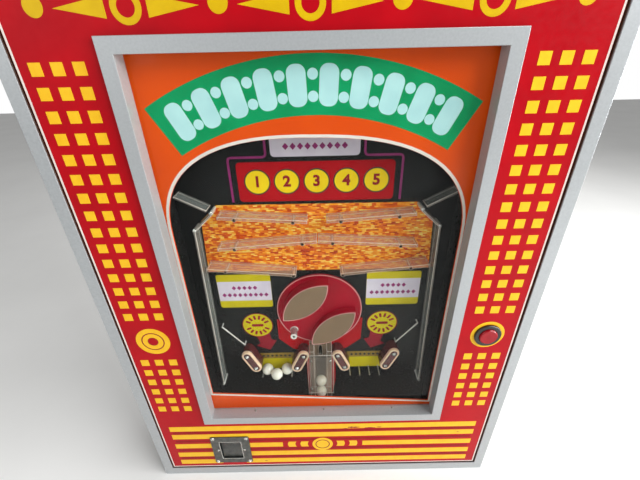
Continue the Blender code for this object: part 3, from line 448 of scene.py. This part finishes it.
def screw(x, z, depth, radius, lean):
    """A slotted round head: height = R * (0.12 + 0.5 * (1 - (r / R)^2)), less a groove where the slot runs.

    The groove is 0.28 R deep and reaches 0.17 R to either side of a line through the middle, turned by lean.
    """
    steps, rings = 24, 7
    turn = np.linspace(0, 2 * np.pi, steps, endpoint=False)[:, None]
    reach = radius * np.linspace(0, 1, rings)[None, :]
    side = np.abs(reach * np.sin(turn - lean))
    dome = radius * (0.12 + 0.5 * (1 - (reach / radius) ** 2))
    groove = 0.28 * radius * (side < 0.17 * radius)
    rows = np.empty((steps, rings + 1, 3))
    rows[:, :rings, 0] = x + reach * np.cos(turn)
    rows[:, :rings, 1] = depth - (dome - groove)
    rows[:, :rings, 2] = z + reach * np.sin(turn)
    rows[:, rings] = (x, depth + 0.0003, z)
    rows[:, rings - 1, 1] = depth
    return rows, True


def rounded_ring(first, last, radius, thick, front, back):
    """A rubber ring stretched round two posts: a superellipse section carried round a long oval.

    The section is x = cos(t)^0.7 * thick / 2 and y = sin(t)^0.7 * depth / 2, each with its own sign.
    """
    steps, section, power = 14, 16, 0.7
    first, last = np.asarray(first), np.asarray(last)
    lean = math.atan2(last[1] - first[1], last[0] - first[0])
    half_turn = np.linspace(-np.pi / 2, np.pi / 2, steps)
    turn = np.concatenate([half_turn, np.linspace(np.pi / 2, 3 * np.pi / 2, steps)])
    centre = np.repeat([last, first], steps, axis=0)
    outward = np.stack([np.cos(turn + lean), np.sin(turn + lean)], 1)
    around = np.linspace(0, 2 * np.pi, section, endpoint=False)
    swell = np.sign(np.cos(around)) * np.abs(np.cos(around)) ** power * thick / 2
    deep = np.sign(np.sin(around)) * np.abs(np.sin(around)) ** power * (back - front) / 2
    middle = centre + outward * radius
    rows = np.empty((2 * steps, section, 3))
    rows[:, :, 0] = middle[:, :1] + outward[:, :1] * swell
    rows[:, :, 1] = (front + back) / 2 + deep
    rows[:, :, 2] = middle[:, 1:] + outward[:, 1:] * swell
    return rows, True


# ---------------------------------------------------------------- CAD nodes in their finishes
def mirror_names(*stems):
    """Left-hand and right-hand node names."""
    return [f"{stem}_{side}" for stem in stems for side in ("left", "right")]


RAMPS = mirror_names("ramp_top", "ramp_middle", "ramp_bottom")
dress(WALNUT, "side_panel_left", "side_panel_right", "top_panel", "bottom_panel", edge=0.0004)
dress(HARDBOARD, "back_panel", edge=0.0004)
dress(ALUMINIUM, "edge_trim", "window_frame", edge=0.0005)
dress(CRIMSON, "front_panel", edge=0.0004, rear=HARDBOARD)
dress(GLASS, "window_glass")
dress(ORANGE, "window_mask")
dress(BOARD_BLACK, "playfield_board", "play_box")
dress(ACRYLIC, *RAMPS, edge=0.0006, trim=ACRYLIC_EDGE_GLOW)
dress(GUIDE_ACRYLIC, *mirror_names("side_guide", "entry_guide"), edge=0.0008, trim=ACRYLIC_EDGE_GLOW)
dress(COVER_ACRYLIC, "ball_chute", "chute_cover", edge=0.0005, trim=ACRYLIC_EDGE_GLOW)
dress(DISC_RED, "selector_disc", "island_upper", "island_lower", "disc_shaft", edge=0.0003)
dress(PLUM, *mirror_names("bumper_inner", "bumper_outer"), edge=0.0012, steps=3)
dress(BALL, *[f"ball_{i}" for i in range(1, 6)])
dress(STEEL, "coin_cup", "coin_flap", "coin_acceptor", edge=0.0004)
dress(BRIGHT_STEEL, "disc_post", "door_lock", *mirror_names("pin_comb"))
dress(WHITE_NICKEL, *mirror_names("deflector_wire"))
dress(SCREW_STEEL, "lock_cam", "lock_keeper", "switch_lever", "door_pivot_lower", "door_pivot_upper")
dress(ZINC, "gear_motor", "cash_box", edge=0.0006)
dress(BLACK_PLASTIC, "button_bezel", "ball_switch", edge=0.0004)
dress(RED_PLASTIC, "push_button", edge=0.0008, steps=3)

# ---------------------------------------------------------------- prints on the door
SQUARE_COLUMNS = (0.251, 0.275, 0.299)
SQUARE_ROWS = [0.3363, 0.3118, 0.2877, 0.2626, 0.2379, 0.2143] + [0.437 + 0.0248 * i for i in range(15)]
SQUARE_HALF = 0.0068
side_squares = both_sides([box(x - SQUARE_HALF, z - SQUARE_HALF, x + SQUARE_HALF, z + SQUARE_HALF)
                           for x in SQUARE_COLUMNS for z in SQUARE_ROWS])
STRIPES = (0.1515, 0.1265, 0.0955, 0.0665, 0.0405)      # heights of the stripes' middles
STRIPE_HALF = 0.0071
STRIPE_LEFT, STRIPE_RIGHT = -0.300, 0.301
HOLE_LEFT, HOLE_RIGHT = -0.212, -0.162     # the lower stripes stop at the hole for the coin cup
GAP_HALF = 0.081                           # and the third one leaves room for the badge
BADGE = 0.0943                             # height of the round badge among the stripes
BULLSEYE = (-0.273, 0.385)                 # the round print at the left, which mirrors the button
BUTTON = (0.274, 0.385)


def stripe(left, z, right):
    """A level bar of the stripes' width."""
    return box(left, z - STRIPE_HALF, right, z + STRIPE_HALF)


bars = [stripe(STRIPE_LEFT, z, STRIPE_RIGHT) for z in STRIPES[:2]]
for z in STRIPES[3:]:
    bars += [stripe(STRIPE_LEFT, z, HOLE_LEFT), stripe(HOLE_RIGHT, z, STRIPE_RIGHT)]
third = STRIPES[2]
broken = [stripe(STRIPE_LEFT, third, HOLE_LEFT), stripe(HOLE_RIGHT, third, -GAP_HALF),
          stripe(GAP_HALF, third, STRIPE_RIGHT)]
rise = np.linspace(-0.0085, 0.0085, 9)
bow = rise ** 2 / 0.032                    # the dashes bend round the badge between them
dashes = both_sides([(np.stack([start - bow, third + rise], 1), np.stack([end - bow, third + rise], 1), False)
                     for start, end in ((0.0555, 0.0708), (0.0303, 0.0453))])
spots = [round_spot(0, BADGE, 0.0208, 36), round_spot(*BULLSEYE, 0.0275, 40), ring(*BUTTON, 0.0216, 0.0275)]
prints("door_print_yellow", side_squares + bars + broken + dashes + spots, YELLOW, "front_door", 0, 2)
SHADE_HALF = 0.0028                        # thin dark lines run between the stripes
SHADE_LEFT, SHADE_RIGHT = -0.296, 0.297
HOLE_TOP = 0.12
# Dark red bars between the stripes: painted shade beneath each yellow stripe.
shade = []
for a, b in zip(STRIPES, STRIPES[1:]):
    low, high = (a + b) / 2 - SHADE_HALF, (a + b) / 2 + SHADE_HALF
    cuts = (SHADE_LEFT, SHADE_RIGHT) if b > HOLE_TOP else (SHADE_LEFT, HOLE_LEFT, HOLE_RIGHT, SHADE_RIGHT)
    shade += [box(left, low, right, high) for left, right in zip(cuts[::2], cuts[1::2])]
prints("door_painted_shade_lines", shade, SHADE_RED, "front_door", 0)
circles = [ring(0, BADGE, 0.0128, 0.0146), ring(*BULLSEYE, 0.0168, 0.0186), ring(*BULLSEYE, 0.0074, 0.0086)]
prints("door_print_circles", circles, DEEP_RED, "front_door", 0, 3)
prints("door_print_bullseye", [round_spot(*BULLSEYE, 0.0074)], CRIMSON, "front_door", 0, 3)
low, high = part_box("front_panel")
corners = np.array([(low.x, low.z), (high.x, low.z), (high.x, high.z), (low.x, high.z)])
inward = np.array([(1, 1), (-1, 1), (-1, -1), (1, -1)])
edge_line = (corners + inward * 0.0004, corners + inward * 0.0027, True)
prints("door_print_edge_line", [edge_line], WHITE, "front_door", 0)

TOP_ROW = 0.8386                # height of the rings over the window
RING_PLACES, SPOT_PLACES = (-0.186, 0, 0.186), (-0.279, -0.093, 0.093, 0.279)


def wedge(x, way):
    """A triangle whose base stands beside the ring at x and whose tip points away from it."""
    base, tip, half = x + way * 0.0215, x + way * 0.074, 0.0098
    return [(base, TOP_ROW - half), (tip, TOP_ROW)], [(base, TOP_ROW + half), (tip, TOP_ROW)], False


header = [ring(x, TOP_ROW, 0.0092, 0.0158) for x in RING_PLACES]
header += [round_spot(x, TOP_ROW + 0.0022, 0.0101) for x in SPOT_PLACES]
wedges = [wedge(x, way) for x in RING_PLACES for way in (-1, 1)]
prints("door_print_lemon", header + wedges, HEADER_LEMON, "front_door", 0)

# ---------------------------------------------------------------- prints on the mask
def opening(grow):
    """The mask's arched opening moved outwards by grow: a foot out of level, straight sides, and an arch.

    The arch is x = half * cos(t)^(2 / 2.6), z = spring + rise * sin(t)^(2 / 2.6) - fall * x.
    """
    half, rise, spring = 0.206 + grow, 0.142 + grow, 0.560
    power, fall = 2 / 2.6, 0.02
    turn = np.linspace(0, np.pi, 40)
    x = np.sign(np.cos(turn)) * np.abs(np.cos(turn)) ** power * half
    z = spring + np.sin(turn) ** power * rise - fall * x
    foot = np.array([(-half, 0.231 - grow), (half, 0.199 - grow)])
    return np.concatenate([foot, np.stack([x, z], 1)])


prints("mask_print_white", [(opening(0.0002), opening(0.0040), True)], WHITE, "front_door", MASK)
ARC_CENTRE = np.array([0.0, 0.3945])
ARC_INNER, ARC_MIDDLE, ARC_OUTER = 0.334, 0.367, 0.400
ARC_END, ORNAMENT_END = 30.3, 26.2         # degrees from the middle
sweep = np.radians(np.linspace(90 + ARC_END, 90 - ARC_END, 60))
direction = np.stack([np.cos(sweep), np.sin(sweep)], 1)
prints("mask_print_green", [(ARC_CENTRE + direction * ARC_INNER, ARC_CENTRE + direction * ARC_OUTER, False)],
       GREEN, "front_door", MASK)
ornament = []
for i, lean in enumerate(np.radians(np.linspace(-ORNAMENT_END, ORNAMENT_END, 19))):
    middle = ARC_CENTRE + np.array([math.sin(lean), math.cos(lean)]) * ARC_MIDDLE
    x, z = middle
    dots = [round_spot(x, z + lift, 0.0062, 20) for lift in (-0.012, 0.012)]
    bar = [soft_box(x, z, 0.0225, 0.046, 0.0095)]
    ornament += [turned_to(shape, middle, -lean) for shape in (dots if i % 2 else bar)]
prints("mask_print_ornament", ornament, PALE_BLUE, "front_door", MASK, 2)

# ---------------------------------------------------------------- prints on the playfield
lower = [(x, 0.473) for x in (-0.1855, -0.1810, -0.1535, 0.1535, 0.182, 0.186)]
upper = [(-0.1855, 0.4735), (-0.1810, 0.568), (-0.1535, 0.594), (0.1535, 0.593), (0.182, 0.562),
         (0.186, 0.4735)]
prints("playfield_picture", [(lower, upper, False)], PICTURE, "cabinet", BOARD)
prints("number_panel", [soft_box(0, 0.62875, 0.231, 0.0605, 0.006)], CRIMSON, "cabinet", BOARD)
NUMBERS = (-0.0866, -0.0429, 0.001, 0.045, 0.0892)      # places across of the five spots
NUMBER_ROW = 0.629                                      # and their height
number_spots = [round_spot(x, NUMBER_ROW, 0.0176, 36) for x in NUMBERS]
number_rims = [round_spot(x, NUMBER_ROW, 0.0196, 36) for x in NUMBERS]
prints("number_spots", number_spots, LEMON, "cabinet", BOARD, 3)
prints("number_rims", number_rims, BLACK_INK, "cabinet", BOARD, 2)
# The right-hand line round the display: down from the mask, out, and down beside the number panel.
bracket = [(0.0710, 0.708), (0.0710, 0.671), (0.0724, 0.6675), (0.0760, 0.666), (0.1215, 0.666),
           (0.1247, 0.6645), (0.1260, 0.661), (0.1260, 0.598)]
prints("magenta_lines", both_sides([stroke(bracket, 0.0034)]), MAGENTA, "cabinet", BOARD)
prints("display_label", [soft_box(0, 0.689, 0.128, 0.046, 0.006)], LILAC, "cabinet", BOARD)


def lozenges(x, z, wide, tall, pitch, reach):
    """A level row of diamonds, reach of them to either side of the middle one, each between its two edges."""
    row = []
    for i in range(-reach, reach + 1):
        middle = x + pitch * i
        across = [middle - wide / 2, middle, middle + wide / 2]
        row.append((list(zip(across, (z, z - tall / 2, z))), list(zip(across, (z, z + tall / 2, z))), False))
    return row


SQUARE_SIGN = 0.1295            # the square signs' middles lie this far to either side
marks = lozenges(0, 0.6805, 0.0088, 0.010, 0.0105, 4)
sign_marks = lozenges(SQUARE_SIGN, 0.4385, 0.0078, 0.0090, 0.0092, 2)
sign_marks += lozenges(SQUARE_SIGN, 0.4235, 0.0078, 0.0090, 0.0092, 4)
prints("magenta_marks", marks + both_sides(sign_marks), MAGENTA, "cabinet", BOARD, 3)
target_signs = both_sides([soft_box(SQUARE_SIGN, 0.43125, 0.093, 0.0705, 0.004)])
prints("target_signs", target_signs, ACID, "cabinet", BOARD)
prints("target_bands", both_sides([box(0.0832, 0.4110, 0.1758, 0.4520)]), LILAC, "cabinet", BOARD, 2)
ROUND_SIGN = np.array([0.1155, 0.3528])    # middle of the right-hand one
prints("round_signs", both_sides([round_spot(*ROUND_SIGN, 0.0272, 40)]), ACID, "cabinet", BOARD, 2)
prints("round_sign_rims", both_sides([ring(*ROUND_SIGN, 0.0270, 0.0285)]), DEEP_RED, "cabinet", BOARD, 3)
petal = soft_box(ROUND_SIGN[0], ROUND_SIGN[1] + 0.0185, 0.0042, 0.0095, 0.0015)
petals = [turned_to(petal, ROUND_SIGN, turn) for turn in np.radians(np.arange(-65, 66, 26))]
petals += [turned_to(shape, ROUND_SIGN, math.pi) for shape in petals]
petals.append(soft_box(*ROUND_SIGN, 0.022, 0.006, 0.0025))
prints("round_sign_marks", both_sides(petals), DEEP_RED, "cabinet", BOARD, 3)
# A bent arrow from the round sign to the tray, between its inner and its outer edge.
arrow = [([(0.0955, 0.334), (0.0930, 0.3165), (0.0833, 0.3140), (0.0976, 0.2899)],
          [(0.1200, 0.325), (0.1147, 0.3075), (0.1231, 0.3013), (0.0976, 0.2899)], False)]
prints("arrows", both_sides(arrow), DEEP_RED, "cabinet", BOARD)
TRAY_NEAR, TRAY_FAR = 0.052, 0.121         # the tray labels' sides, measured from the middle
TRAY_LOW, TRAY_HEAD, TRAY_TOP = 0.239, 0.2665, 0.281
prints("tray_labels", both_sides([box(TRAY_NEAR, TRAY_LOW, TRAY_FAR, TRAY_TOP)]), ACID, "cabinet", BOARD)
tray_heads = both_sides([box(TRAY_NEAR, TRAY_HEAD, TRAY_FAR, TRAY_TOP)])
prints("tray_label_heads", tray_heads, OCHRE, "cabinet", BOARD, 2)
tray_marks = lozenges((TRAY_NEAR + TRAY_FAR) / 2, 0.2735, 0.0068, 0.0062, 0.0085, 3)
prints("tray_label_marks", both_sides(tray_marks), BLACK_INK, "cabinet", BOARD, 3)
# The shield below the disc narrows to a stem behind the chute. It is ruled from each side to the slot.
SHIELD_TOP, SHIELD_FOOT = 0.366, 0.159
shield_left = [(-0.079, SHIELD_TOP), (-0.0785, 0.3184), (-0.053, 0.292), (-0.0282, 0.284), (-0.0278, 0.200),
               (-0.0269, SHIELD_FOOT)]
shield_right = [(0.079, SHIELD_TOP), (0.0770, 0.3145), (0.0500, 0.2915), (0.0290, 0.2835), (0.0296, 0.200),
                (0.0225, SHIELD_FOOT)]
SLOT_HALF, SLOT_LOW, SLOT_HIGH = 0.003, 0.274, 0.300     # the lever comes through the board here
shield = [(shield_left, [(-SLOT_HALF, z) for x, z in shield_left], False),
          ([(SLOT_HALF, z) for x, z in shield_right], shield_right, False),
          box(-SLOT_HALF, SLOT_HIGH, SLOT_HALF, SHIELD_TOP),
          box(-SLOT_HALF, SHIELD_FOOT, SLOT_HALF, SLOT_LOW)]
prints("shield", shield, CRIMSON, "cabinet", BOARD)
CHUTE_HALF, CHUTE_STEP = 0.0205, 0.2655    # behind the chute, tan below this height and beige above it
# Below the step the panel is painted paler tan: painted light for the brighter look under the clear cover.
prints("chute_foot_panel_painted_light", [box(-CHUTE_HALF, 0.160, CHUTE_HALF, CHUTE_STEP)], CHUTE_PAINTED_LIGHT, "cabinet", BOARD, 2)
panel = [box(-CHUTE_HALF, CHUTE_STEP, CHUTE_HALF, SLOT_LOW), box(-CHUTE_HALF, SLOT_HIGH, CHUTE_HALF, 0.3115)]
panel += both_sides([box(SLOT_HALF, SLOT_LOW, CHUTE_HALF, SLOT_HIGH)])
prints("chute_panel", panel, BEIGE, "cabinet", BOARD, 2)

disc_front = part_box("selector_disc")[0].y - FACE
# A pale pink ring on the disc's edge: painted highlight where the edge catches the light.
prints("disc_rim_highlight", [ring(0, DISC, 0.0746, 0.0761, 72)], PINK_EDGE_HIGHLIGHT, "selector", disc_front)


def leaf(long, wide, centre, lean):
    """A flat leaf between two arcs: half height = sqrt(R^2 - x^2) - (R - wide / 2), turned by lean."""
    radius = ((long / 2) ** 2 + (wide / 2) ** 2) / wide
    x = np.linspace(-long / 2, long / 2, 40)
    half = np.sqrt(radius ** 2 - x ** 2) - (radius - wide / 2)
    x, centre = x + centre[0], np.asarray(centre)
    shape = np.stack([x, centre[1] - half], 1), np.stack([x, centre[1] + half], 1), False
    return turned_to(shape, centre, lean)


LEAN = math.radians(43)         # both leaves point this way
along, across = np.array([math.cos(LEAN), math.sin(LEAN)]), np.array([-math.sin(LEAN), math.cos(LEAN)])
for name, sign in (("upper", 1), ("lower", -1)):
    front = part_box(f"island_{name}")[0].y - FACE
    centre = np.array([0, DISC]) + sign * (across * 0.0402 + along * 0.0046)
    # Pale pink round each leaf: painted highlight on its edge, partly its pale cut edge.
    prints(f"island_rim_highlight_{name}", [leaf(0.1080, 0.0485, centre, LEAN)], PINK_EDGE_HIGHLIGHT, "selector", front)
    prints(f"island_face_{name}", [leaf(0.1040, 0.0468, centre, LEAN)], BEIGE, "selector", front, 2)


def digits():
    """The figures 1 to 5, each in the middle of its spot and as thick as a print."""
    for number, x in enumerate(NUMBERS, 1):
        line = bpy.data.curves.new(f"figure_{number}", "FONT")
        line.body = str(number)
        line.size = 0.0225
        line.offset = 0.0009
        line.extrude = INK / 2
        line.align_x = "CENTER"
        line.align_y = "CENTER"
        holder = bpy.data.objects.new(f"figure_{number}_outline", line)
        bpy.context.scene.collection.objects.link(holder)
        bpy.context.view_layer.update()
        mesh = bpy.data.meshes.new_from_object(holder)
        bpy.data.objects.remove(holder)
        shape = bmesh.new()
        shape.from_mesh(mesh)
        bmesh.ops.remove_doubles(shape, verts=shape.verts[:], dist=0.000001)
        front = FACE + BOARD - 3.6 * INK
        upright = Matrix(((1, 0, 0, x), (0, 0, -1, front), (0, 1, 0, NUMBER_ROW), (0, 0, 0, 1)))
        bmesh.ops.transform(shape, matrix=upright, verts=shape.verts[:])
        bmesh.ops.recalc_face_normals(shape, faces=shape.faces[:])
        shape.to_mesh(mesh)
        shape.free()
        show(f"figure_{number}", mesh, DEEP_RED, "cabinet")


digits()

# ---------------------------------------------------------------- fittings
def posts(spots, front, back, radius):
    """Short round sleeves that run back from the front of the acrylic to the board."""
    profile = [(0, front), (radius, front), (radius, back), (0, back)]
    return [lathe(profile, x, z, 16) for x, z in spots]


def heads(name, spots, front, radius, material, body):
    """One screw head on each spot. Its place sets how far its slot is turned, so no two look alike."""
    made = [screw(x, z, front, radius, 40 * x + 60 * z) for x, z in spots]
    piece(name, made, material, body, (), 30)


def pairs(spots):
    """The spots and their mirror images."""
    return [(sign * x, z) for x, z in spots for sign in (-1, 1)]


# From the bumper's screws to the middle of its rubber, and the rubber's thickness.
RING_MIDDLE, RING_THICK = 0.0082, 0.0040
BUMPER_ENDS = {"outer": ((0.1375, 0.2985), (0.1235, 0.268)), "inner": ((0.032, 0.296), (0.0456, 0.266))}
for side, sign in (("left", -1), ("right", 1)):
    for place, ends in BUMPER_ENDS.items():
        first, last = [(sign * x, z) for x, z in ends]
        node = f"rubber_{place}_{side}"
        low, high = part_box(node)
        rubber = rounded_ring(first, last, RING_MIDDLE, RING_THICK, low.y - FACE, high.y - FACE)
        piece(node + "_finished", [rubber], RUBBER, "cabinet", (node,), 60)
        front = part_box(f"bumper_{place}_{side}")[0].y - FACE
        # Darker plum discs round each screw: painted shade, so the flat face looks recessed there.
        painted_shade_spots = [round_spot(x, z, 0.0052, 24) for x, z in (first, last)]
        prints(f"bumper_washers_{place}_{side}", painted_shade_spots, PLUM_PAINTED_SHADE, "cabinet", front)
        screws = [screw(x, z, front - INK, 0.0034, 0.4 + x * 9) for x, z in (first, last)]
        piece(f"bumper_screws_{place}_{side}", screws, BRIGHT_STEEL, "cabinet", (), 30)

# The post's nut, a low round collar with a hole in it, and the flange at its foot.
low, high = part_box("disc_post")
middle, tip, foot = (low + high) / 2, low.y - FACE, high.y - FACE
nut = [(0.0026, tip + 0.0002), (0.0028, tip - 0.0005), (0.0042, tip - 0.0009), (0.0056, tip - 0.0005),
       (0.0060, tip + 0.0006)]
flange = [(0.0063, foot), (0.0063, foot - 0.0016), (0.0072, foot - 0.0012), (0.0074, foot)]
turned = [lathe(profile, middle.x, middle.z) for profile in (nut, flange)]
piece("disc_post_nut", turned, WHITE_NICKEL, "selector")
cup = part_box("coin_cup")[0].y - FACE
CUP_MIDDLE = (-0.187, 0.082)
cup_corners = [(CUP_MIDDLE[0] + x, CUP_MIDDLE[1] + z) for x in (-0.0335, 0.0335) for z in (-0.038, 0.038)]
heads("coin_cup_screws", cup_corners, cup, 0.0038, BRIGHT_STEEL, "front_door")
heads("coin_cup_small_screws", [(-0.2135, 0.083), (-0.1605, 0.083)], cup, 0.0022, BRIGHT_STEEL, "front_door")
low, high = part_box("coin_flap")
# The lip's inner and outer outline: how much wider than the flap, and its corners' radius.
LIP_INNER, LIP_OUTER = (0.0018, 0.0006), (0.0044, 0.0016)
lip = []
for wider, radius in (LIP_INNER, LIP_OUTER):
    near, far, closed = soft_box((low.x + high.x) / 2, (low.z + high.z) / 2, high.x - low.x + wider,
                                 high.z - low.z + wider, radius)
    lip.append(np.concatenate([near, far[::-1]]))
prints("coin_cup_lip", [(*lip, True)], BRIGHT_STEEL, "front_door", cup, 2)
acceptor_corners = [(x, z) for x in (0.210, 0.254) for z in (0.868, 0.942)]
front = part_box("coin_acceptor")[0].y - FACE
heads("coin_acceptor_screws", acceptor_corners, front, 0.003, BRIGHT_STEEL, "front_door")
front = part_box("chute_cover")[0].y - FACE
cover_corners = pairs([(0.0178, 0.2195), (0.0178, 0.295)])
heads("chute_cover_screws", cover_corners, front, 0.0023, SCREW_STEEL, "cabinet")
RAMP_SLEEVES = pairs([(0.1223, 0.5802), (0.0357, 0.5741), (0.1286, 0.5302), (0.0234, 0.5375),
                      (0.1484, 0.4891), (0.0400, 0.4784)])
front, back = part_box("ramp_top_left")[0].y - FACE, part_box("ramp_top_left")[1].y - FACE
heads("ramp_screws", RAMP_SLEEVES, front - 0.0001, 0.0024, DARK_STEEL, "cabinet")
piece("ramp_sleeves", posts(RAMP_SLEEVES, front + 0.0004, back, 0.0015), WHITE_NICKEL, "cabinet")
GUIDE_SLEEVES = pairs([(0.1560, 0.5905), (0.1853, 0.5628), (0.1922, 0.2245)])
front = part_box("side_guide_left")[0].y - FACE
heads("guide_screws", GUIDE_SLEEVES, front - 0.0006, 0.0030, BRIGHT_STEEL, "cabinet")
piece("guide_sleeves", posts(GUIDE_SLEEVES, front - 0.0004, back, 0.0024), WHITE_NICKEL, "cabinet")
SILL = WINDOW_LOW + 0.017
SILL_SCREWS, SILL_DEPTH = (-0.128, 0.004, 0.136), 0.010
sill_screws = [screw(x, SILL_DEPTH, 0, 0.0022, 0.7 * x + 0.4) for x in SILL_SCREWS]
for rows, _ in sill_screws:                # turned so that their heads look up from the sill
    rows[:, :, [1, 2]] = np.stack([rows[:, :, 2], SILL - rows[:, :, 1]], -1)
piece("window_frame_screws", sill_screws, SCREW_STEEL, "front_door", (), 30)

# ---------------------------------------------------------------- wear
rng = np.random.default_rng(7)


def chip(x, z, long, tall):
    """A flake out of the ink: an oval whose edge is drawn in at random, to as little as 0.4 of its height."""
    steps = 14
    turn = np.linspace(0, np.pi, steps)
    across = x - long / 2 * np.cos(turn)
    low, high = (tall / 2 * np.sin(turn) * rng.uniform(0.4, 1.0, steps) for _ in range(2))
    return np.stack([across, z - low], 1), np.stack([across, z + high], 1), False


flakes = [chip(0.062, 0.1478, 0.024, 0.005), chip(0.046, 0.1440, 0.010, 0.003),
          chip(0.094, 0.1452, 0.022, 0.0036), chip(0.112, 0.1470, 0.010, 0.0026),
          chip(0.270, 0.1262, 0.005, 0.002), chip(-0.120, 0.0392, 0.006, 0.0018)]
prints("door_print_chips", flakes, DEEP_RED, "front_door", 0, 3)

# ---------------------------------------------------------------- camera, floor and light
# A wide lens, close in front, looks down at the machine, a little turned and rolled.
eye = Vector((0.0054, FACE - 0.4137, 0.7906))
pitch, yaw, roll = (math.radians(v) for v in (28.342, 0.167, -1.3167))
ahead = Vector((-math.sin(yaw) * math.cos(pitch), math.cos(yaw) * math.cos(pitch), -math.sin(pitch)))
level = Vector((math.cos(yaw), math.sin(yaw), 0))
upward = level.cross(ahead)
right = level * math.cos(roll) + upward * math.sin(roll)
above = upward * math.cos(roll) - level * math.sin(roll)
lens = bpy.data.cameras.new("camera")
lens.lens = 19.129
lens.sensor_width = 36
camera = bpy.data.objects.new("camera", lens)
camera.matrix_world = Matrix.Translation(eye) @ Matrix((right, above, -ahead)).transposed().to_4x4()
bpy.context.scene.collection.objects.link(camera)
bpy.context.scene.camera = camera


def lamp(name, place, target, size, power):
    """A square soft box that looks at a point."""
    light = bpy.data.lights.new(name, "AREA")
    light.size = size
    light.energy = power
    made = bpy.data.objects.new(name, light)
    made.location = place
    made.rotation_euler = (Vector(target) - Vector(place)).to_track_quat("-Z", "Y").to_euler()
    bpy.context.scene.collection.objects.link(made)


MIDDLE = (0, 0, 0.5)
lamp("key", (1.9, -1.5, 2.0), MIDDLE, 1.3, 54)
lamp("fill", (-1.6, -1.8, 1.5), MIDDLE, 1.6, 12)
lamp("side", (2.4, -0.45, 0.9), MIDDLE, 1.0, 58)
lamp("back", (0.6, 1.9, 1.9), MIDDLE, 1.6, 22)

ground = bpy.data.meshes.new("floor")
ground.from_pydata([(-6, -6, 0), (6, -6, 0), (6, 6, 0), (-6, 6, 0)], [], [(0, 1, 2, 3)])
# Painted floor: pale, even and matt.
ground.materials.append(finish("pale_painted_floor", "F4F4F2", "EEEEEC", 400, (0.6, 0.7), 0.01))
floor = bpy.data.objects.new("floor", ground)
bpy.context.scene.collection.objects.link(floor)

# The eye sees a white background, through the window too, while the object is lit by a dimmer one.
DIM, IN_REFLECTIONS = 0.33, 0.15
world = bpy.data.worlds.new("studio")
world.use_nodes = True
bpy.context.scene.world = world
tree = world.node_tree
path = add(tree, "ShaderNodeLightPath").outputs
direct = {0: path["Is Camera Ray"], 1: path["Is Transmission Ray"]}
seen = add(tree, "ShaderNodeMath", direct, operation="MAXIMUM").outputs[0]
mirrored = {0: path["Is Glossy Ray"], 1: IN_REFLECTIONS, 2: seen}
seen = add(tree, "ShaderNodeMath", mirrored, operation="MULTIPLY_ADD").outputs[0]
strength = add(tree, "ShaderNodeMapRange", {"Value": seen, "To Min": DIM, "To Max": 1.0}).outputs[0]
tree.links.new(strength, tree.nodes["Background"].inputs["Strength"])
tree.nodes["Background"].inputs["Color"].default_value = (1, 1, 1, 1)
bpy.context.scene.view_settings.view_transform = "Standard"
